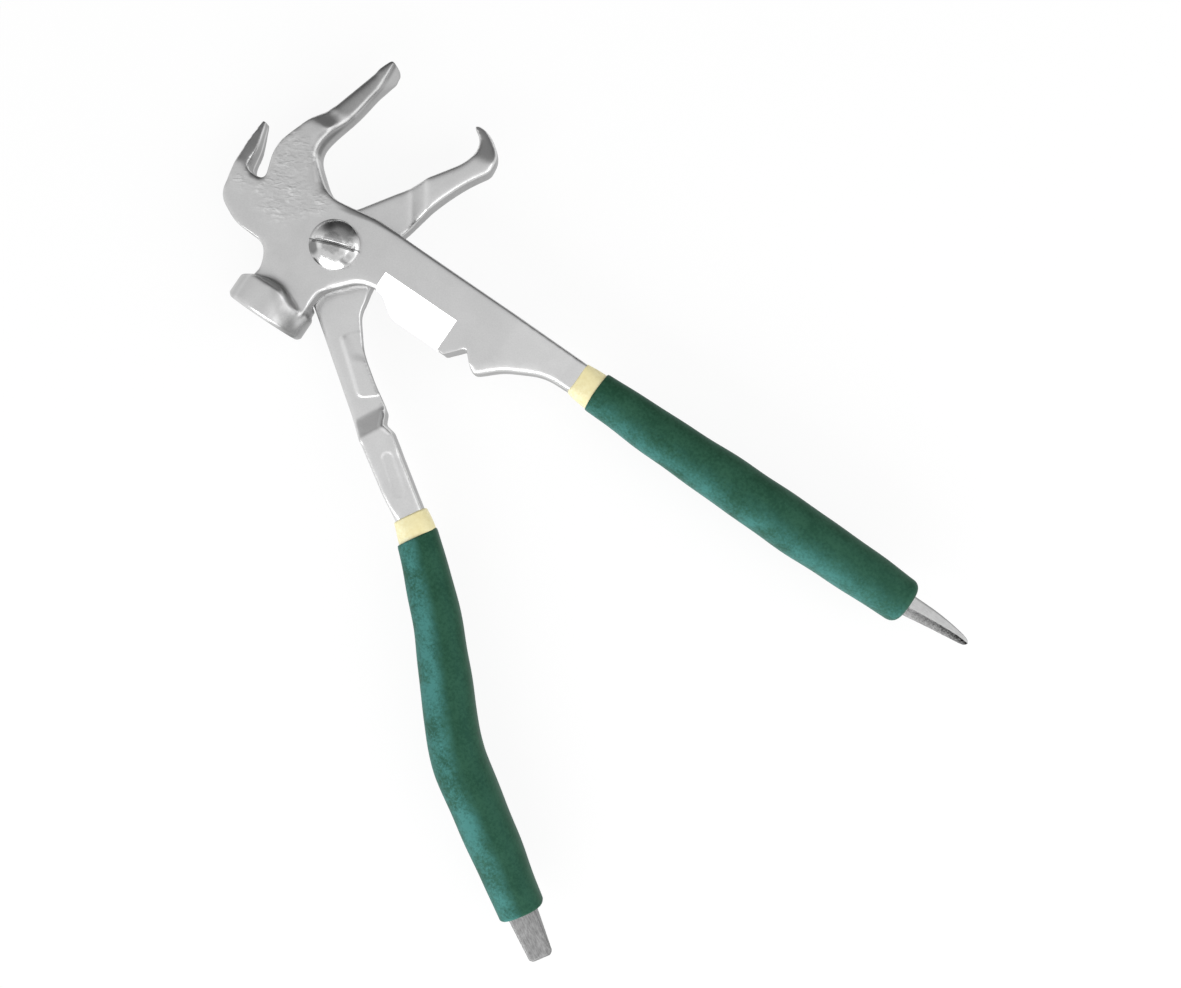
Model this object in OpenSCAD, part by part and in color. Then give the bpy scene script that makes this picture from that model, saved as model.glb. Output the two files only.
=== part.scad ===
// Wheel weight pliers: a hammer lever and a jaw lever that swing on one screw.
// The origin is on the pivot axis, in the nut's outer face. +Z points along the
// screw to its head, +X along the hammer lever's handle, +Y out of the jaws.

/* [Pivot] */
// Diameter of the screw's shoulder, which both levers turn on
shoulder_d = 10; // [8:0.5:12]
// Diameter of the screw's thread
thread_d = 8; // [5:0.5:8]
// Diameter of the screw's head
head_d = 15; // [13:0.5:18]
// Height of the straight rim under the head's dome
head_rim_h = 1.2; // [0.6:0.1:2]
// Height of the head's dome above its rim
dome_h = 3; // [1.5:0.1:4]
// Width of the screwdriver slot
slot_w = 1.6; // [1:0.1:2.4]
// Depth of the screwdriver slot
slot_depth = 2.2; // [1:0.1:3]
// Turn of the slot from the handle's direction
slot_turn = 20; // [-90:1:90]
// Width across the nut's flats
nut_af = 13; // [12:0.5:17]
// Thickness of the nut
nut_h = 5; // [4:0.5:7]
// Diameter of the washer
washer_d = 17; // [15:0.5:20]
// Thickness of the washer
washer_t = 1.4; // [1:0.1:2.5]
// Diameter of the round boss of the jaw lever
boss_d = 26.4; // [24:0.2:27]

/* [Forgings] */
// Thickness of each lever where they lap
lap_t = 6.4; // [5.5:0.1:7.5]
// Thickness of both jaws
jaw_t = 8; // [6:0.5:9]
// Thickness of both handles in front of the grips
handle_t = 8; // [7.6:0.2:9]
// Width of the tangs inside the grips
tang_w = 8.4; // [7:0.2:9]
// Thickness of the tangs inside the grips
tang_t = 7; // [6:0.2:7.6]
// Depth of the steps along the tangs' corners
tang_step = 0.9; // [0.9:0.1:1.5]

/* [Hammer head] */
// Diameter of the striking head
hammer_d = 24.4; // [20:0.2:25]
// Distance from the pivot axis to the striking face
hammer_reach = 29.8; // [28:0.2:34]
// Length of the round barrel behind the striking face
barrel_len = 7.4; // [7:0.2:10]
// Length of the cone that runs from the barrel into the lever
barrel_cone_len = 4.2; // [3:0.2:6]
// Bevel around the striking face
face_bevel = 1; // [0.4:0.1:2]
// Rounding of the barrel's rear edge
barrel_edge_r = 1; // [0.5:0.1:3]
// Distance from the pivot axis to the head's side next to the jaw lever
hammer_side = 4.8; // [3:0.1:4.9]

/* [Hammer lever] */
// Distance from the pivot axis to the handle's upper edge
handle_top = 13.2; // [12:0.1:14]
// Width of the handle where the grip starts
handle_w = 10.1; // [9.4:0.1:12]
// Distance from the pivot axis to the grip along the handle
grip_start = 80.5; // [76:0.5:90]
// Where the handle starts to thin down to its thickness at the grip
thin_start = 57; // [56:0.5:62]
// Where the flat of the upper jaw starts to step down
jaw_step_at = 26.6; // [24:0.1:30]
// Length of the step on the upper jaw
jaw_step_len = 5; // [3:0.1:8]
// Where the claw prong starts to slope down
prong_slope_at = 4.7; // [3:0.1:8]
// Thickness of the claw prong at its tip
prong_tip_t = 4.5; // [3:0.1:6]
// Reach of the claw prong's tip
prong_reach = 19.4; // [17:0.1:22]
// Reach of the upper jaw's tip
jaw_reach = 56.3; // [54:0.1:59]
// Turn of the ground flat inside the upper jaw's tip
tip_bevel_turn = 13; // [6:1:18]

/* [Cutter] */
// Where the cutter's bevel starts along the handle
cutter_start = 16.8; // [16:0.1:19]
// Where the cutter's bevel ends along the handle
cutter_end = 42; // [38:0.1:43]
// Distance from the pivot axis down to the cutting edge
cutter_edge = 8.6; // [8:0.1:8.8]
// Distance from the pivot axis up to the back of the bevel
cutter_back = 1.8; // [0:0.1:4]
// Thickness left at the cutting edge
cutter_land = 0.4; // [0.2:0.1:1]
// Where the wire notch's bottom lies along the handle
notch_at = 48.9; // [48:0.1:50]
// Depth of the wire notch above the cutting edge
notch_depth = 5.2; // [3:0.1:6]

/* [Jaw lever] */
// Swing from tips together to the position shown
open_angle = 27.5; // [24:0.5:27.5]
// Reach of the hooked jaw
hook_reach = 56.2; // [54:0.1:58]
// Thickness of the hooked jaw at its point
hook_tip_t = 4.5; // [3:0.1:6]
// Where the hooked jaw starts to rise from the joint
rise_at = 20.8; // [20:0.1:24]
// Length of the rise on the hooked jaw
rise_len = 6; // [4:0.1:8]
// Direction in which the hooked jaw rises
rise_turn = 62; // [55:1:90]
// Where the hook starts to thin down to its point
point_at = 41; // [40:0.5:44]
// Direction in which the hook thins down to its point
point_turn = 128; // [122:1:134]
// Where the handle starts to step up from the joint
step_at = 47.3; // [46:0.1:49]
// Length of the step on the handle
step_len = 5.9; // [4:0.1:7]
// Height of the anvil pad above the lapped face
pad_h = 0.9; // [0.4:0.1:1.5]
// Width of the jaw lever's handle where the grip starts
jaw_handle_w = 8.8; // [8.6:0.1:10]
// Length of the jaw lever's handle in front of the grip's bend
jaw_handle_len = 80; // [76:0.5:84]

/* [Jaw handle line] */
// Where the handle's centre line starts, along the closed hammer lever's handle
line_start_at = 70; // [68:0.5:72]
// Drop of the centre line below the pivot axis where it starts
line_start_drop = 17.9; // [17.5:0.1:18.5]
// Where the line bends in front of the grip
front_bend_at = 83; // [81:0.5:86]
// Drop of the line at the bend in front of the grip
front_bend_drop = 19.2; // [18.5:0.1:20]
// Radius of the bend in front of the grip
front_bend_r = 60; // [40:1:80]
// Where the line bends under the palm
palm_bend_at = 112; // [105:0.5:118]
// Drop of the line at the bend under the palm
palm_bend_drop = 26.6; // [25:0.1:28]
// Radius of the bend under the palm
palm_bend_r = 120; // [60:1:150]
// Where the line bends near the grip's rear
rear_bend_at = 148.5; // [140:0.5:156]
// Drop of the line at the bend near the grip's rear
rear_bend_drop = 40.5; // [37:0.1:43]
// Radius of the bend near the grip's rear
rear_bend_r = 45; // [30:1:70]
// Where the line ends, beyond the blade
line_end_at = 230; // [225:1:240]
// Drop of the line where it ends
line_end_drop = 48.4; // [42:0.1:54]

/* [Grips] */
// Length of the cream collar in front of each sleeve
collar_len = 7; // [4:0.5:10]
// Length of the green sleeve on the hammer lever
sleeve_len = 112.5; // [100:0.5:118]
// Length of the green sleeve on the jaw lever
jaw_sleeve_len = 117; // [100:1:120]
// Wall of the cream layer at its front edge
collar_wall = 0.9; // [0.7:0.1:1.2]
// Wall of the cream layer under the sleeve
liner_wall = 1.7; // [1.5:0.1:2.2]
// Wall of the sleeve at its front edge
sleeve_wall_front = 0.4; // [0.3:0.1:1]
// Wall of the sleeve at its belly
sleeve_wall_belly = 2.2; // [1.2:0.1:2.6]
// Wall of the hammer lever's sleeve at its rear end
sleeve_wall_end = 1.3; // [1.2:0.1:2]
// Wall of the jaw lever's sleeve at its rear end
jaw_sleeve_wall_end = 1.6; // [1.2:0.1:2.2]
// Thickness of the sleeves' closed rear ends
sleeve_end_t = 3.2; // [3:0.1:5]
// Rounding of the hammer lever's sleeve at its rear end
sleeve_end_r = 2.4; // [1:0.1:2.6]
// Rounding of the jaw lever's sleeve at its rear end
jaw_sleeve_end_r = 1; // [0.8:0.1:2.6]

/* [Handle ends] */
// Width of the pick where it leaves the grip
pick_w = 7.2; // [6:0.1:7.4]
// Thickness of the pick where it leaves the grip
pick_t = 6; // [5:0.1:6.2]
// Length of the pick outside the grip
pick_len = 21.5; // [16:0.5:26]
// Width of the pick's tip
pick_tip_w = 2; // [1.2:0.1:3]
// Thickness of the pick's tip
pick_tip_t = 1.6; // [1:0.1:2.5]
// Sideways lean of the pick
pick_lean = 1.4; // [0:0.1:2]
// Share of the pick's half width by which its ridges sit low
ridge_drop = 0.3; // [0:0.05:0.5]
// Width of the screwdriver blade where it leaves the grip
blade_w = 8.4; // [7:0.1:8.4]
// Width of the screwdriver blade's tip
blade_tip_w = 7.4; // [6:0.1:8]
// Length of the screwdriver blade outside the grip
blade_len = 15.5; // [10:0.5:20]
// Thickness of the screwdriver blade's tip
blade_tip_t = 1.4; // [0.8:0.1:2]

/* [Clearances] */
// Gap between the two lapped faces
lap_gap = 0.2; // [0.1:0.05:0.4]
// Gap between the jaw lever and the washer
side_gap = 0.1; // [0.05:0.05:0.2]
// Radial gap between the shoulder and the bores
bore_gap = 0.05; // [0.02:0.01:0.1]
// Radial gap between the thread and what sits on it
thread_gap = 0.05; // [0.02:0.01:0.1]
// Gap between the boss and the hammer lever's lap recess
boss_gap = 0.8; // [0.5:0.1:1.2]
// Gap between the anvil pad and the cutting edge when the tips are together
pad_gap = 0.4; // [0.3:0.1:1]
// Gap between the jaw lever's handle and the hammer lever when open
stop_gap = 0.6; // [0.5:0.1:1]
// Gap between a grip's layers and what they sit on
grip_gap = 0.02; // [0.01:0.01:0.05]
// Depth of the screw's end below the nut's face
screw_inset = 0.4; // [0.2:0.1:1]

/* [Hidden] */
$fn = 64;

steel = [0.74, 0.74, 0.75];
bright_steel = [0.82, 0.82, 0.84];
cream = [0.91, 0.87, 0.67];
green = [0.16, 0.38, 0.31];

// Levels along the screw
washer_top = nut_h + washer_t;
back_z = washer_top + side_gap;
jaw_lap_z = back_z + lap_t;
lap_z = jaw_lap_z + lap_gap / 2;
hammer_lap_z = jaw_lap_z + lap_gap;
front_z = hammer_lap_z + lap_t;
jaw_back_z = lap_z - jaw_t / 2;
jaw_front_z = lap_z + jaw_t / 2;
handle_front_z = lap_z + handle_t / 2;

// Centre of the striking head and of the straight grip
hammer_x = hammer_side - hammer_d / 2;
handle_axis = handle_top - handle_w / 2;
handle_low = handle_top - handle_w;
over = 40;

// Degrees turned by each short line of a drawn arc
arc_step = 9;

function flat(p) = [p[0], p[1]];

// Length that the arc of radius p[2] takes from each side of corner p
function arc_reach(a, p, b) =
    let (u = unit(flat(a) - flat(p)), v = unit(flat(b) - flat(p)))
    p[2] / tan(acos(max(-1, min(1, u * v))) / 2);

// Points of the arc of radius p[2] that rounds corner p between a and b
function corner(a, p, b) =
    let (
        u = unit([a[0] - p[0], a[1] - p[1]]),
        v = unit([b[0] - p[0], b[1] - p[1]]),
        half = acos(max(-1, min(1, u * v))) / 2,
        reach = p[2] / tan(half),
        start = [p[0], p[1]] + u * reach,
        side = u[0] * v[1] - u[1] * v[0] > 0 ? 1 : -1,
        centre = start + side * p[2] * [-u[1], u[0]],
        sweep = 180 - 2 * half,
        count = max(1, ceil(sweep / arc_step)),
        from = atan2(start[1] - centre[1], start[0] - centre[0])
    )
    p[2] == 0 || sweep < 1 ? [[p[0], p[1]]] :
    [for (i = [0:count]) centre + p[2] * direction(from - side * sweep * i / count)];

function unit(v) = v / norm(v);
function direction(turn) = [cos(turn), sin(turn)];

// Closed outline through corners given as [x, y, radius], with arcs as large as their sides allow
function rounded(corners) =
    let (
        count = len(corners),
        last = count - 1,
        reach = [
            for (i = [0:last])
                arc_reach(corners[(i + last) % count], corners[i], corners[(i + 1) % count])
        ],
        room = [
            for (i = [0:last])
                let (next = (i + 1) % count)
                0.98 * norm(flat(corners[next]) - flat(corners[i])) / max(0.01, reach[i] + reach[next])
        ]
    )
    [
        for (i = [0:last])
            let (p = corners[i], fit = min(1, room[i], room[(i + last) % count]))
            each corner(corners[(i + last) % count], [p[0], p[1], p[2] * fit], corners[(i + 1) % count])
    ];

// Open path through corners given as [x, y, radius]
function route(corners) = concat(
    [[corners[0][0], corners[0][1]]],
    [for (i = [1:len(corners) - 2]) each corner(corners[i - 1], corners[i], corners[i + 1])],
    [[corners[len(corners) - 1][0], corners[len(corners) - 1][1]]]
);

// Point at a distance along a path
function along(path, distance, i = 1) =
    let (step = path[i] - path[i - 1], size = norm(step))
    distance <= size || i == len(path) - 1
        ? path[i - 1] + step * distance / size
        : along(path, distance - size, i + 1);

// Point and direction at a distance along a path, as [x, y, turn]
function place(path, distance) =
    let (
        here = along(path, distance),
        step = along(path, distance + 2) - along(path, distance - 2)
    )
    [here[0], here[1], atan2(step[1], step[0])];

// Outline of a strip that follows a path through stops along it
function strip(path, stops, half) =
    let (places = [for (d = stops) place(path, d)])
    concat(
        [for (p = places) [p[0], p[1]] + half * direction(p[2] + 90)],
        [for (i = [len(places) - 1:-1:0]) let (p = places[i]) [p[0], p[1]] - half * direction(p[2] + 90)]
    );

// Prism of an outline drawn in x and height, across the lever
module side_prism(points, half_width = over * 3) {
    rotate([90, 0, 0])
        translate([0, 0, -half_width])
            linear_extrude(2 * half_width)
                polygon(points);
}

// Hammer lever

neck_x = hammer_side - 1.4;
neck_top = -boss_d / 2 - 1;
barrel_back = barrel_len - hammer_reach;
notch_half = 4.6;
spur_x = notch_at + 5.7;
jaw_root = 20;

// Distance from the pivot axis at a share of a jaw's height above its root
function up_jaw(share, reach) = jaw_root + share * (reach - jaw_root);

hammer_lever_outline = rounded([
    [grip_start, handle_top, 0],
    [6, handle_top + 0.2, 14],
    [-10, handle_top - 2.3, 9],
    [-21.2, jaw_root, 6],
    [-19.6, up_jaw(0.215, jaw_reach), 10],
    [-17.3, up_jaw(0.44, jaw_reach), 25],
    [-16.1, up_jaw(0.7, jaw_reach), 30],
    [-13.8, jaw_reach - 3.6, 2],
    [-17.6, jaw_reach, 1.3],
    [-19.5, jaw_reach - 4.6, 6],
    [-25.3, up_jaw(0.33, jaw_reach), 14],
    [-28.3, up_jaw(0.143, jaw_reach), 14],
    [-31.6, 14.6, 12],
    [-28.1, 3.9, 1.6],
    [-34.6, 4.2, 1.6],
    [-36.2, 11, 20],
    [-39.9, prong_reach, 0.6],
    [-41, prong_reach - 0.2, 0.6],
    [-39.7, 9, 60],
    [-38, -0.5, 30],
    [-36.3, -7, 7],
    [-28.5, -10.9, 12],
    [-17.6, -11.2, 5],
    [-14.8, -17.5, 8],
    [-15.4, barrel_back - 1, 0],
    [neck_x, barrel_back - 1, 0],
    [neck_x, neck_top, 5],
    [11.6, -4.9, 8],
    [cutter_start + 1.8, -3.5, 4],
    [cutter_start + 8, -cutter_edge, 2.2],
    [notch_at - notch_half, -cutter_edge, 0.8],
    [notch_at, notch_depth - cutter_edge, 0.5],
    [spur_x, -cutter_edge - 0.5, 0.8],
    [spur_x + 6.9, -2.7, 14],
    [grip_start - 8, handle_low, 16],
    [grip_start, handle_low, 0]
]);

// Room under the hammer lever for the jaw lever and its swing
edge_turn = -9.1;
stop_turn = edge_turn - open_angle;
stop_far = 26;
recess_r = boss_d / 2 + boss_gap;
stop_foot = (boss_d / 2 + stop_gap) * direction(stop_turn - 90);
recess_left = -9.4;
recess_end = cutter_end + 1.5;
recess_outline = [
    stop_foot,
    stop_foot + stop_far * direction(stop_turn),
    [recess_end, -over],
    [recess_end, over],
    [recess_left, over],
    [recess_left, 0]
];

module barrel() {
    barrel_r = hammer_d / 2;
    cone_r = lap_t;
    translate([hammer_x, -hammer_reach, lap_z])
        rotate([-90, 0, 0])
            rotate_extrude()
                polygon(rounded([
                    [0, 0, 0],
                    [barrel_r - face_bevel, 0, 0],
                    [barrel_r, face_bevel, 0],
                    [barrel_r, barrel_len, barrel_edge_r],
                    [cone_r, barrel_len + barrel_cone_len, 0],
                    [0, barrel_len + barrel_cone_len, 0]
                ]));
}

// Stepped bar that a grip sits on, through stops along a path
module tang(path, stops) {
    translate([0, 0, lap_z - tang_t / 2 + tang_step])
        linear_extrude(tang_t - 2 * tang_step)
            polygon(strip(path, stops, tang_w / 2));
    translate([0, 0, lap_z - tang_t / 2])
        linear_extrude(tang_t)
            polygon(strip(path, stops, tang_w / 2 - tang_step));
}

// Front faces that fall away: the jaw's step, the prong's slope, the thinning handle
module hammer_lever_front_cuts() {
    prong_tip_z = jaw_back_z + prong_tip_t;
    claw_split = -32;
    step_end = jaw_step_at + jaw_step_len;
    translate([claw_split, 0, 0])
        rotate([90, 0, 90])
            linear_extrude(over)
                polygon([
                    [jaw_step_at, front_z],
                    [step_end, jaw_front_z],
                    [jaw_reach + 1, jaw_front_z],
                    [jaw_reach + 1, front_z + 1],
                    [jaw_step_at, front_z + 1]
                ]);
    translate([claw_split - over, 0, 0])
        rotate([90, 0, 90])
            linear_extrude(over)
                polygon([
                    [prong_slope_at, front_z],
                    [prong_reach, prong_tip_z],
                    [prong_reach + 1, prong_tip_z],
                    [prong_reach + 1, front_z + 1],
                    [prong_slope_at, front_z + 1]
                ]);
    side_prism([
        [thin_start, front_z],
        [grip_start, handle_front_z],
        [grip_start + 1, handle_front_z],
        [grip_start + 1, front_z + 1],
        [thin_start, front_z + 1]
    ]);
}

// Ground flat of the cutter, from the front face down to the cutting edge
module cutter_bevel() {
    edge_z = hammer_lap_z + cutter_land;
    drop = (front_z - edge_z) / (cutter_edge + cutter_back);
    beyond = 2;
    translate([cutter_start, 0, 0])
        rotate([90, 0, 90])
            linear_extrude(cutter_end - cutter_start)
                polygon([
                    [cutter_back + beyond, front_z + beyond * drop],
                    [-cutter_edge - beyond, edge_z - beyond * drop],
                    [-cutter_edge - beyond, front_z + beyond * drop]
                ]);
}

// Ground flat on the inner side of the upper jaw's tip
module jaw_tip_bevel() {
    translate([-14.4, jaw_reach - 10, jaw_back_z])
        rotate([0, 0, 4])
            rotate([0, -tip_bevel_turn, 0])
                translate([0, 0, -2])
                    cube([12, 16, jaw_t * 2]);
}

tang_root = 2;
end_root = 6;
grip_path = [[grip_start, handle_axis], [grip_start + 2 * over, handle_axis]];
liner_end = collar_len + sleeve_len - sleeve_end_t;
grip_len = collar_len + sleeve_len;

module hammer_lever() {
    color(steel) difference() {
        union() {
            difference() {
                translate([0, 0, jaw_back_z])
                    linear_extrude(front_z - jaw_back_z)
                        polygon(hammer_lever_outline);
                hammer_lever_front_cuts();
                cutter_bevel();
                jaw_tip_bevel();
                translate([0, 0, -1])
                    linear_extrude(hammer_lap_z + 1)
                        union() {
                            polygon(recess_outline);
                            circle(recess_r);
                        }
            }
            barrel();
            tang(grip_path, [-tang_root, liner_end]);
            pick();
        }
        cylinder(h = front_z + 1, d = shoulder_d + 2 * bore_gap);
    }
}

// Four-sided pick that starts inside the grip
module pick() {
    blunt = 0.5;
    tip = end_root + pick_len;
    wider = end_root / pick_len;
    root_w = pick_w + (pick_w - pick_tip_w) * wider;
    root_t = pick_t + (pick_t - pick_tip_t) * wider;
    stations = [
        [0, root_w / 2, root_t / 2],
        [tip - blunt, pick_tip_w / 2, pick_tip_t / 2],
        [tip, pick_tip_w / 4, pick_tip_t / 4]
    ];
    points = [
        for (s = stations)
            each [
                [s[0], s[1], 0],
                [s[0], -ridge_drop * s[1], s[2]],
                [s[0], -s[1], 0],
                [s[0], -ridge_drop * s[1], -s[2]]
            ]
    ];
    sides = [
        for (i = [0:len(stations) - 2], j = [0:3])
            let (a = 4 * i + j, b = 4 * i + (j + 1) % 4)
            [a, a + 4, b + 4, b]
    ];
    translate([grip_start + grip_len - end_root, handle_axis, lap_z])
        rotate([0, 0, pick_lean])
            polyhedron(points, concat([[0, 1, 2, 3]], sides, [[11, 10, 9, 8]]));
}

// Jaw lever, drawn with its tips together and then swung open

edge_foot = boss_d / 2 * direction(edge_turn - 90);
hook_arm_outline = rounded([
    [0, 0, 0],
    [-8.9, 8, 0],
    [-7.5, jaw_root + 0.5, 60],
    [-5.8, up_jaw(0.387, hook_reach), 60],
    [-4.6, up_jaw(0.677, hook_reach), 12],
    [-5.9, hook_reach - 3.3, 7.4],
    [-13.7, hook_reach - 3.1, 0.3],
    [-12.9, hook_reach - 1.6, 0.8],
    [-8.8, hook_reach + 0.1, 7],
    [-1.2, hook_reach - 1.2, 6],
    [1.8, up_jaw(0.84, hook_reach), 3],
    [1.2, up_jaw(0.635, hook_reach), 40],
    [2.1, up_jaw(0.373, hook_reach), 40],
    [4.9, jaw_root - 1, 30],
    [7.5, 9, 0]
]);

jaw_handle_path = route([
    [line_start_at, -line_start_drop, 0],
    [front_bend_at, -front_bend_drop, front_bend_r],
    [palm_bend_at, -palm_bend_drop, palm_bend_r],
    [rear_bend_at, -rear_bend_drop, rear_bend_r],
    [line_end_at, -line_end_drop, 0]
]);
// Distance along that path from its start to the grip
jaw_grip_from = jaw_handle_len - line_start_at;
jaw_grip_place = place(jaw_handle_path, jaw_grip_from);
jaw_grip_side = jaw_handle_w / 2 * direction(jaw_grip_place[2] + 90);

handle_arm_outline = rounded([
    [0, 0, 0],
    [edge_foot[0], edge_foot[1], 0],
    [47.5, -21, 30],
    [71.5, -23.2, 6],
    [jaw_grip_place[0] - jaw_grip_side[0], jaw_grip_place[1] - jaw_grip_side[1], 0],
    [jaw_grip_place[0] + jaw_grip_side[0], jaw_grip_place[1] + jaw_grip_side[1], 0],
    [spur_x + 1.2, -11.7, 1.2],
    [spur_x - 2, -12.9, 1],
    [spur_x - 4.7, -11, 1.5],
    [cutter_end - 2, -cutter_edge - 1.8, 30],
    [29.5, -cutter_edge - 0.3, 20],
    [19.2, -4.3, 8],
    [13, 4.4, 0]
]);

// Anvil pad, which stays below the cutting edge when the tips are together
pad_top = -cutter_edge - pad_gap;
pad_outline = rounded([
    [cutter_start + 6, pad_top - 2.9, 1.5],
    [cutter_end - 0.5, pad_top - 7, 2],
    [cutter_end + 2.2, pad_top - 1.2, 0.5],
    [cutter_end + 2.4, pad_top, 0],
    [cutter_start + 7.4, pad_top, 1.5]
]);

// Level faces over the joint, between the rising jaw and the stepped handle
module joint_front_cut() {
    rise = jaw_front_z - jaw_lap_z;
    step = handle_front_z - jaw_lap_z;
    high = front_z + 5 - jaw_lap_z;
    difference() {
        translate([0, 0, jaw_lap_z])
            intersection() {
                side_prism([
                    [-over, 0],
                    [step_at, 0],
                    [step_at + step_len * high / step, high],
                    [-over, high]
                ]);
                rotate([0, 0, rise_turn])
                    side_prism([
                        [-over * 5, 0],
                        [rise_at, 0],
                        [rise_at + rise_len * high / rise, high],
                        [-over * 5, high]
                    ]);
            }
        linear_extrude(jaw_lap_z + pad_h)
            polygon(pad_outline);
    }
}

module jaw_lever_back_cuts() {
    side_prism([
        [step_at, back_z],
        [step_at + step_len, lap_z - handle_t / 2],
        [over * 3, lap_z - handle_t / 2],
        [over * 3, back_z - 1],
        [step_at, back_z - 1]
    ], over);
    rotate([0, 0, rise_turn])
        side_prism([
            [rise_at, back_z],
            [rise_at + rise_len, jaw_back_z],
            [over * 2, jaw_back_z],
            [over * 2, back_z - 1],
            [rise_at, back_z - 1]
        ], over);
}

// The hook thins towards its point
module hook_point_cut() {
    fall = jaw_t - hook_tip_t;
    fall_len = 9.5;
    rotate([0, 0, point_turn])
        side_prism([
            [point_at, jaw_front_z],
            [point_at + 2 * fall_len, jaw_front_z - 2 * fall],
            [point_at + 2 * fall_len, jaw_front_z + 1],
            [point_at, jaw_front_z + 1]
        ], over);
}

module jaw_lever_closed() {
    difference() {
        union() {
            difference() {
                translate([0, 0, back_z])
                    linear_extrude(jaw_front_z - back_z)
                        union() {
                            circle(d = boss_d);
                            polygon(hook_arm_outline);
                            polygon(handle_arm_outline);
                        }
                joint_front_cut();
                jaw_lever_back_cuts();
                hook_point_cut();
            }
            tang(jaw_handle_path, concat([jaw_grip_from - tang_root], jaw_stops));
            blade();
        }
        translate([0, 0, -1])
            cylinder(h = front_z + 1, d = shoulder_d + 2 * bore_gap);
    }
}

// Flat screwdriver blade that starts inside the grip
module blade() {
    end = place(jaw_handle_path, jaw_grip_from + collar_len + jaw_sleeve_len);
    corner_cut = 0.9;
    half = blade_w / 2;
    tip_half = blade_tip_w / 2;
    translate([end[0], end[1], lap_z])
        rotate([0, 0, end[2]])
            intersection() {
                side_prism([
                    [-end_root, -tang_t / 2],
                    [0, -tang_t / 2],
                    [blade_len, -blade_tip_t / 2],
                    [blade_len, blade_tip_t / 2],
                    [0, tang_t / 2],
                    [-end_root, tang_t / 2]
                ], tang_w);
                translate([0, 0, -tang_t])
                    linear_extrude(2 * tang_t)
                        polygon([
                            [-end_root, -half],
                            [0, -half],
                            [blade_len - corner_cut, -tip_half],
                            [blade_len, corner_cut - tip_half],
                            [blade_len, tip_half - corner_cut],
                            [blade_len - corner_cut, tip_half],
                            [0, half],
                            [-end_root, half]
                        ]);
            }
}

module jaw_lever() {
    color(steel)
        rotate([0, 0, -open_angle])
            jaw_lever_closed();
}

// Pivot

module pivot_screw() {
    dome_r = ((head_d / 2) ^ 2 + dome_h ^ 2) / (2 * dome_h);
    rim_z = front_z + head_rim_h;
    color(bright_steel) difference() {
        union() {
            translate([0, 0, screw_inset])
                cylinder(h = washer_top, d = thread_d);
            translate([0, 0, washer_top])
                cylinder(h = front_z - washer_top, d = shoulder_d);
            translate([0, 0, front_z])
                cylinder(h = head_rim_h, d = head_d);
            intersection() {
                translate([0, 0, rim_z + dome_h - dome_r])
                    sphere(dome_r);
                translate([0, 0, rim_z])
                    cylinder(h = dome_h + 1, d = head_d);
            }
        }
        rotate([0, 0, slot_turn])
            translate([-head_d, -slot_w / 2, rim_z + dome_h - slot_depth])
                cube([2 * head_d, slot_w, slot_depth + 1]);
    }
}

module pivot_washer() {
    color(bright_steel)
        translate([0, 0, nut_h])
            difference() {
                cylinder(h = washer_t, d = washer_d);
                translate([0, 0, -1])
                    cylinder(h = washer_t + 2, d = thread_d + 2 * thread_gap);
            }
}

// Hexagon nut with its corners turned away on both faces
module pivot_nut() {
    corner_r = nut_af / 2 / cos(30);
    turned_h = 0.7;
    color(bright_steel) difference() {
        intersection() {
            cylinder(h = nut_h, r = corner_r, $fn = 6);
            rotate_extrude()
                polygon([
                    [0, 0],
                    [nut_af / 2, 0],
                    [corner_r, turned_h],
                    [corner_r, nut_h - turned_h],
                    [nut_af / 2, nut_h],
                    [0, nut_h]
                ]);
        }
        translate([0, 0, -1])
            cylinder(h = nut_h + 2, d = thread_d + 2 * thread_gap);
    }
}

// Grips

ring_sides = 28;
outer_squareness = 3.2;
inner_squareness = 12;
collar_steps = 3;
liner_steps = 20;
belly_at = 0.6;

// Ring of points across a path, at a distance along it; squareness 2 is an ellipse
function ring(path, distance, half_w, half_h, squareness) =
    let (p = place(path, distance), side = direction(p[2] + 90), bend = 2 / squareness)
    [
        for (i = [0:ring_sides - 1])
            let (
                turn = 360 * i / ring_sides,
                w = half_w * sign(cos(turn)) * pow(abs(cos(turn)), bend),
                h = half_h * sign(sin(turn)) * pow(abs(sin(turn)), bend)
            )
            [p[0] + side[0] * w, p[1] + side[1] * w, lap_z + h]
    ];

// Triangles between ring a and the ring that starts at point b
function band(a, b) = [
    for (j = [0:ring_sides - 1])
        let (k = (j + 1) % ring_sides)
        each [[a + j, a + k, b + j], [a + k, b + k, b + j]]
];

// Tube from its outer rings and its inner rings
module tube(outer, inner) {
    last = ring_sides * (len(outer) - 1);
    hole = ring_sides * len(outer);
    polyhedron(
        concat([for (r = outer) each r], [for (r = inner) each r]),
        concat(
            [for (i = [0:len(outer) - 2]) each band(i * ring_sides, (i + 1) * ring_sides)],
            [for (i = [0:len(inner) - 2]) each band(hole + (i + 1) * ring_sides, hole + i * ring_sides)],
            band(hole, 0),
            band(last, hole + last)
        ),
        convexity = 4
    );
}

// Stops along a grip from the collar's front edge to the liner's end
function grip_stops(from, sleeve) = concat(
    [for (i = [0:collar_steps - 1]) from + collar_len * i / collar_steps],
    [for (i = [0:liner_steps]) from + collar_len + (sleeve - sleeve_end_t) * i / liner_steps]
);

jaw_stops = grip_stops(jaw_grip_from, jaw_sleeve_len);

// Wall of the cream layer at a distance from its front edge
function liner_wall_at(d) =
    collar_wall + (liner_wall - collar_wall) * sin(90 * min(1, d / collar_len));

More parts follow.
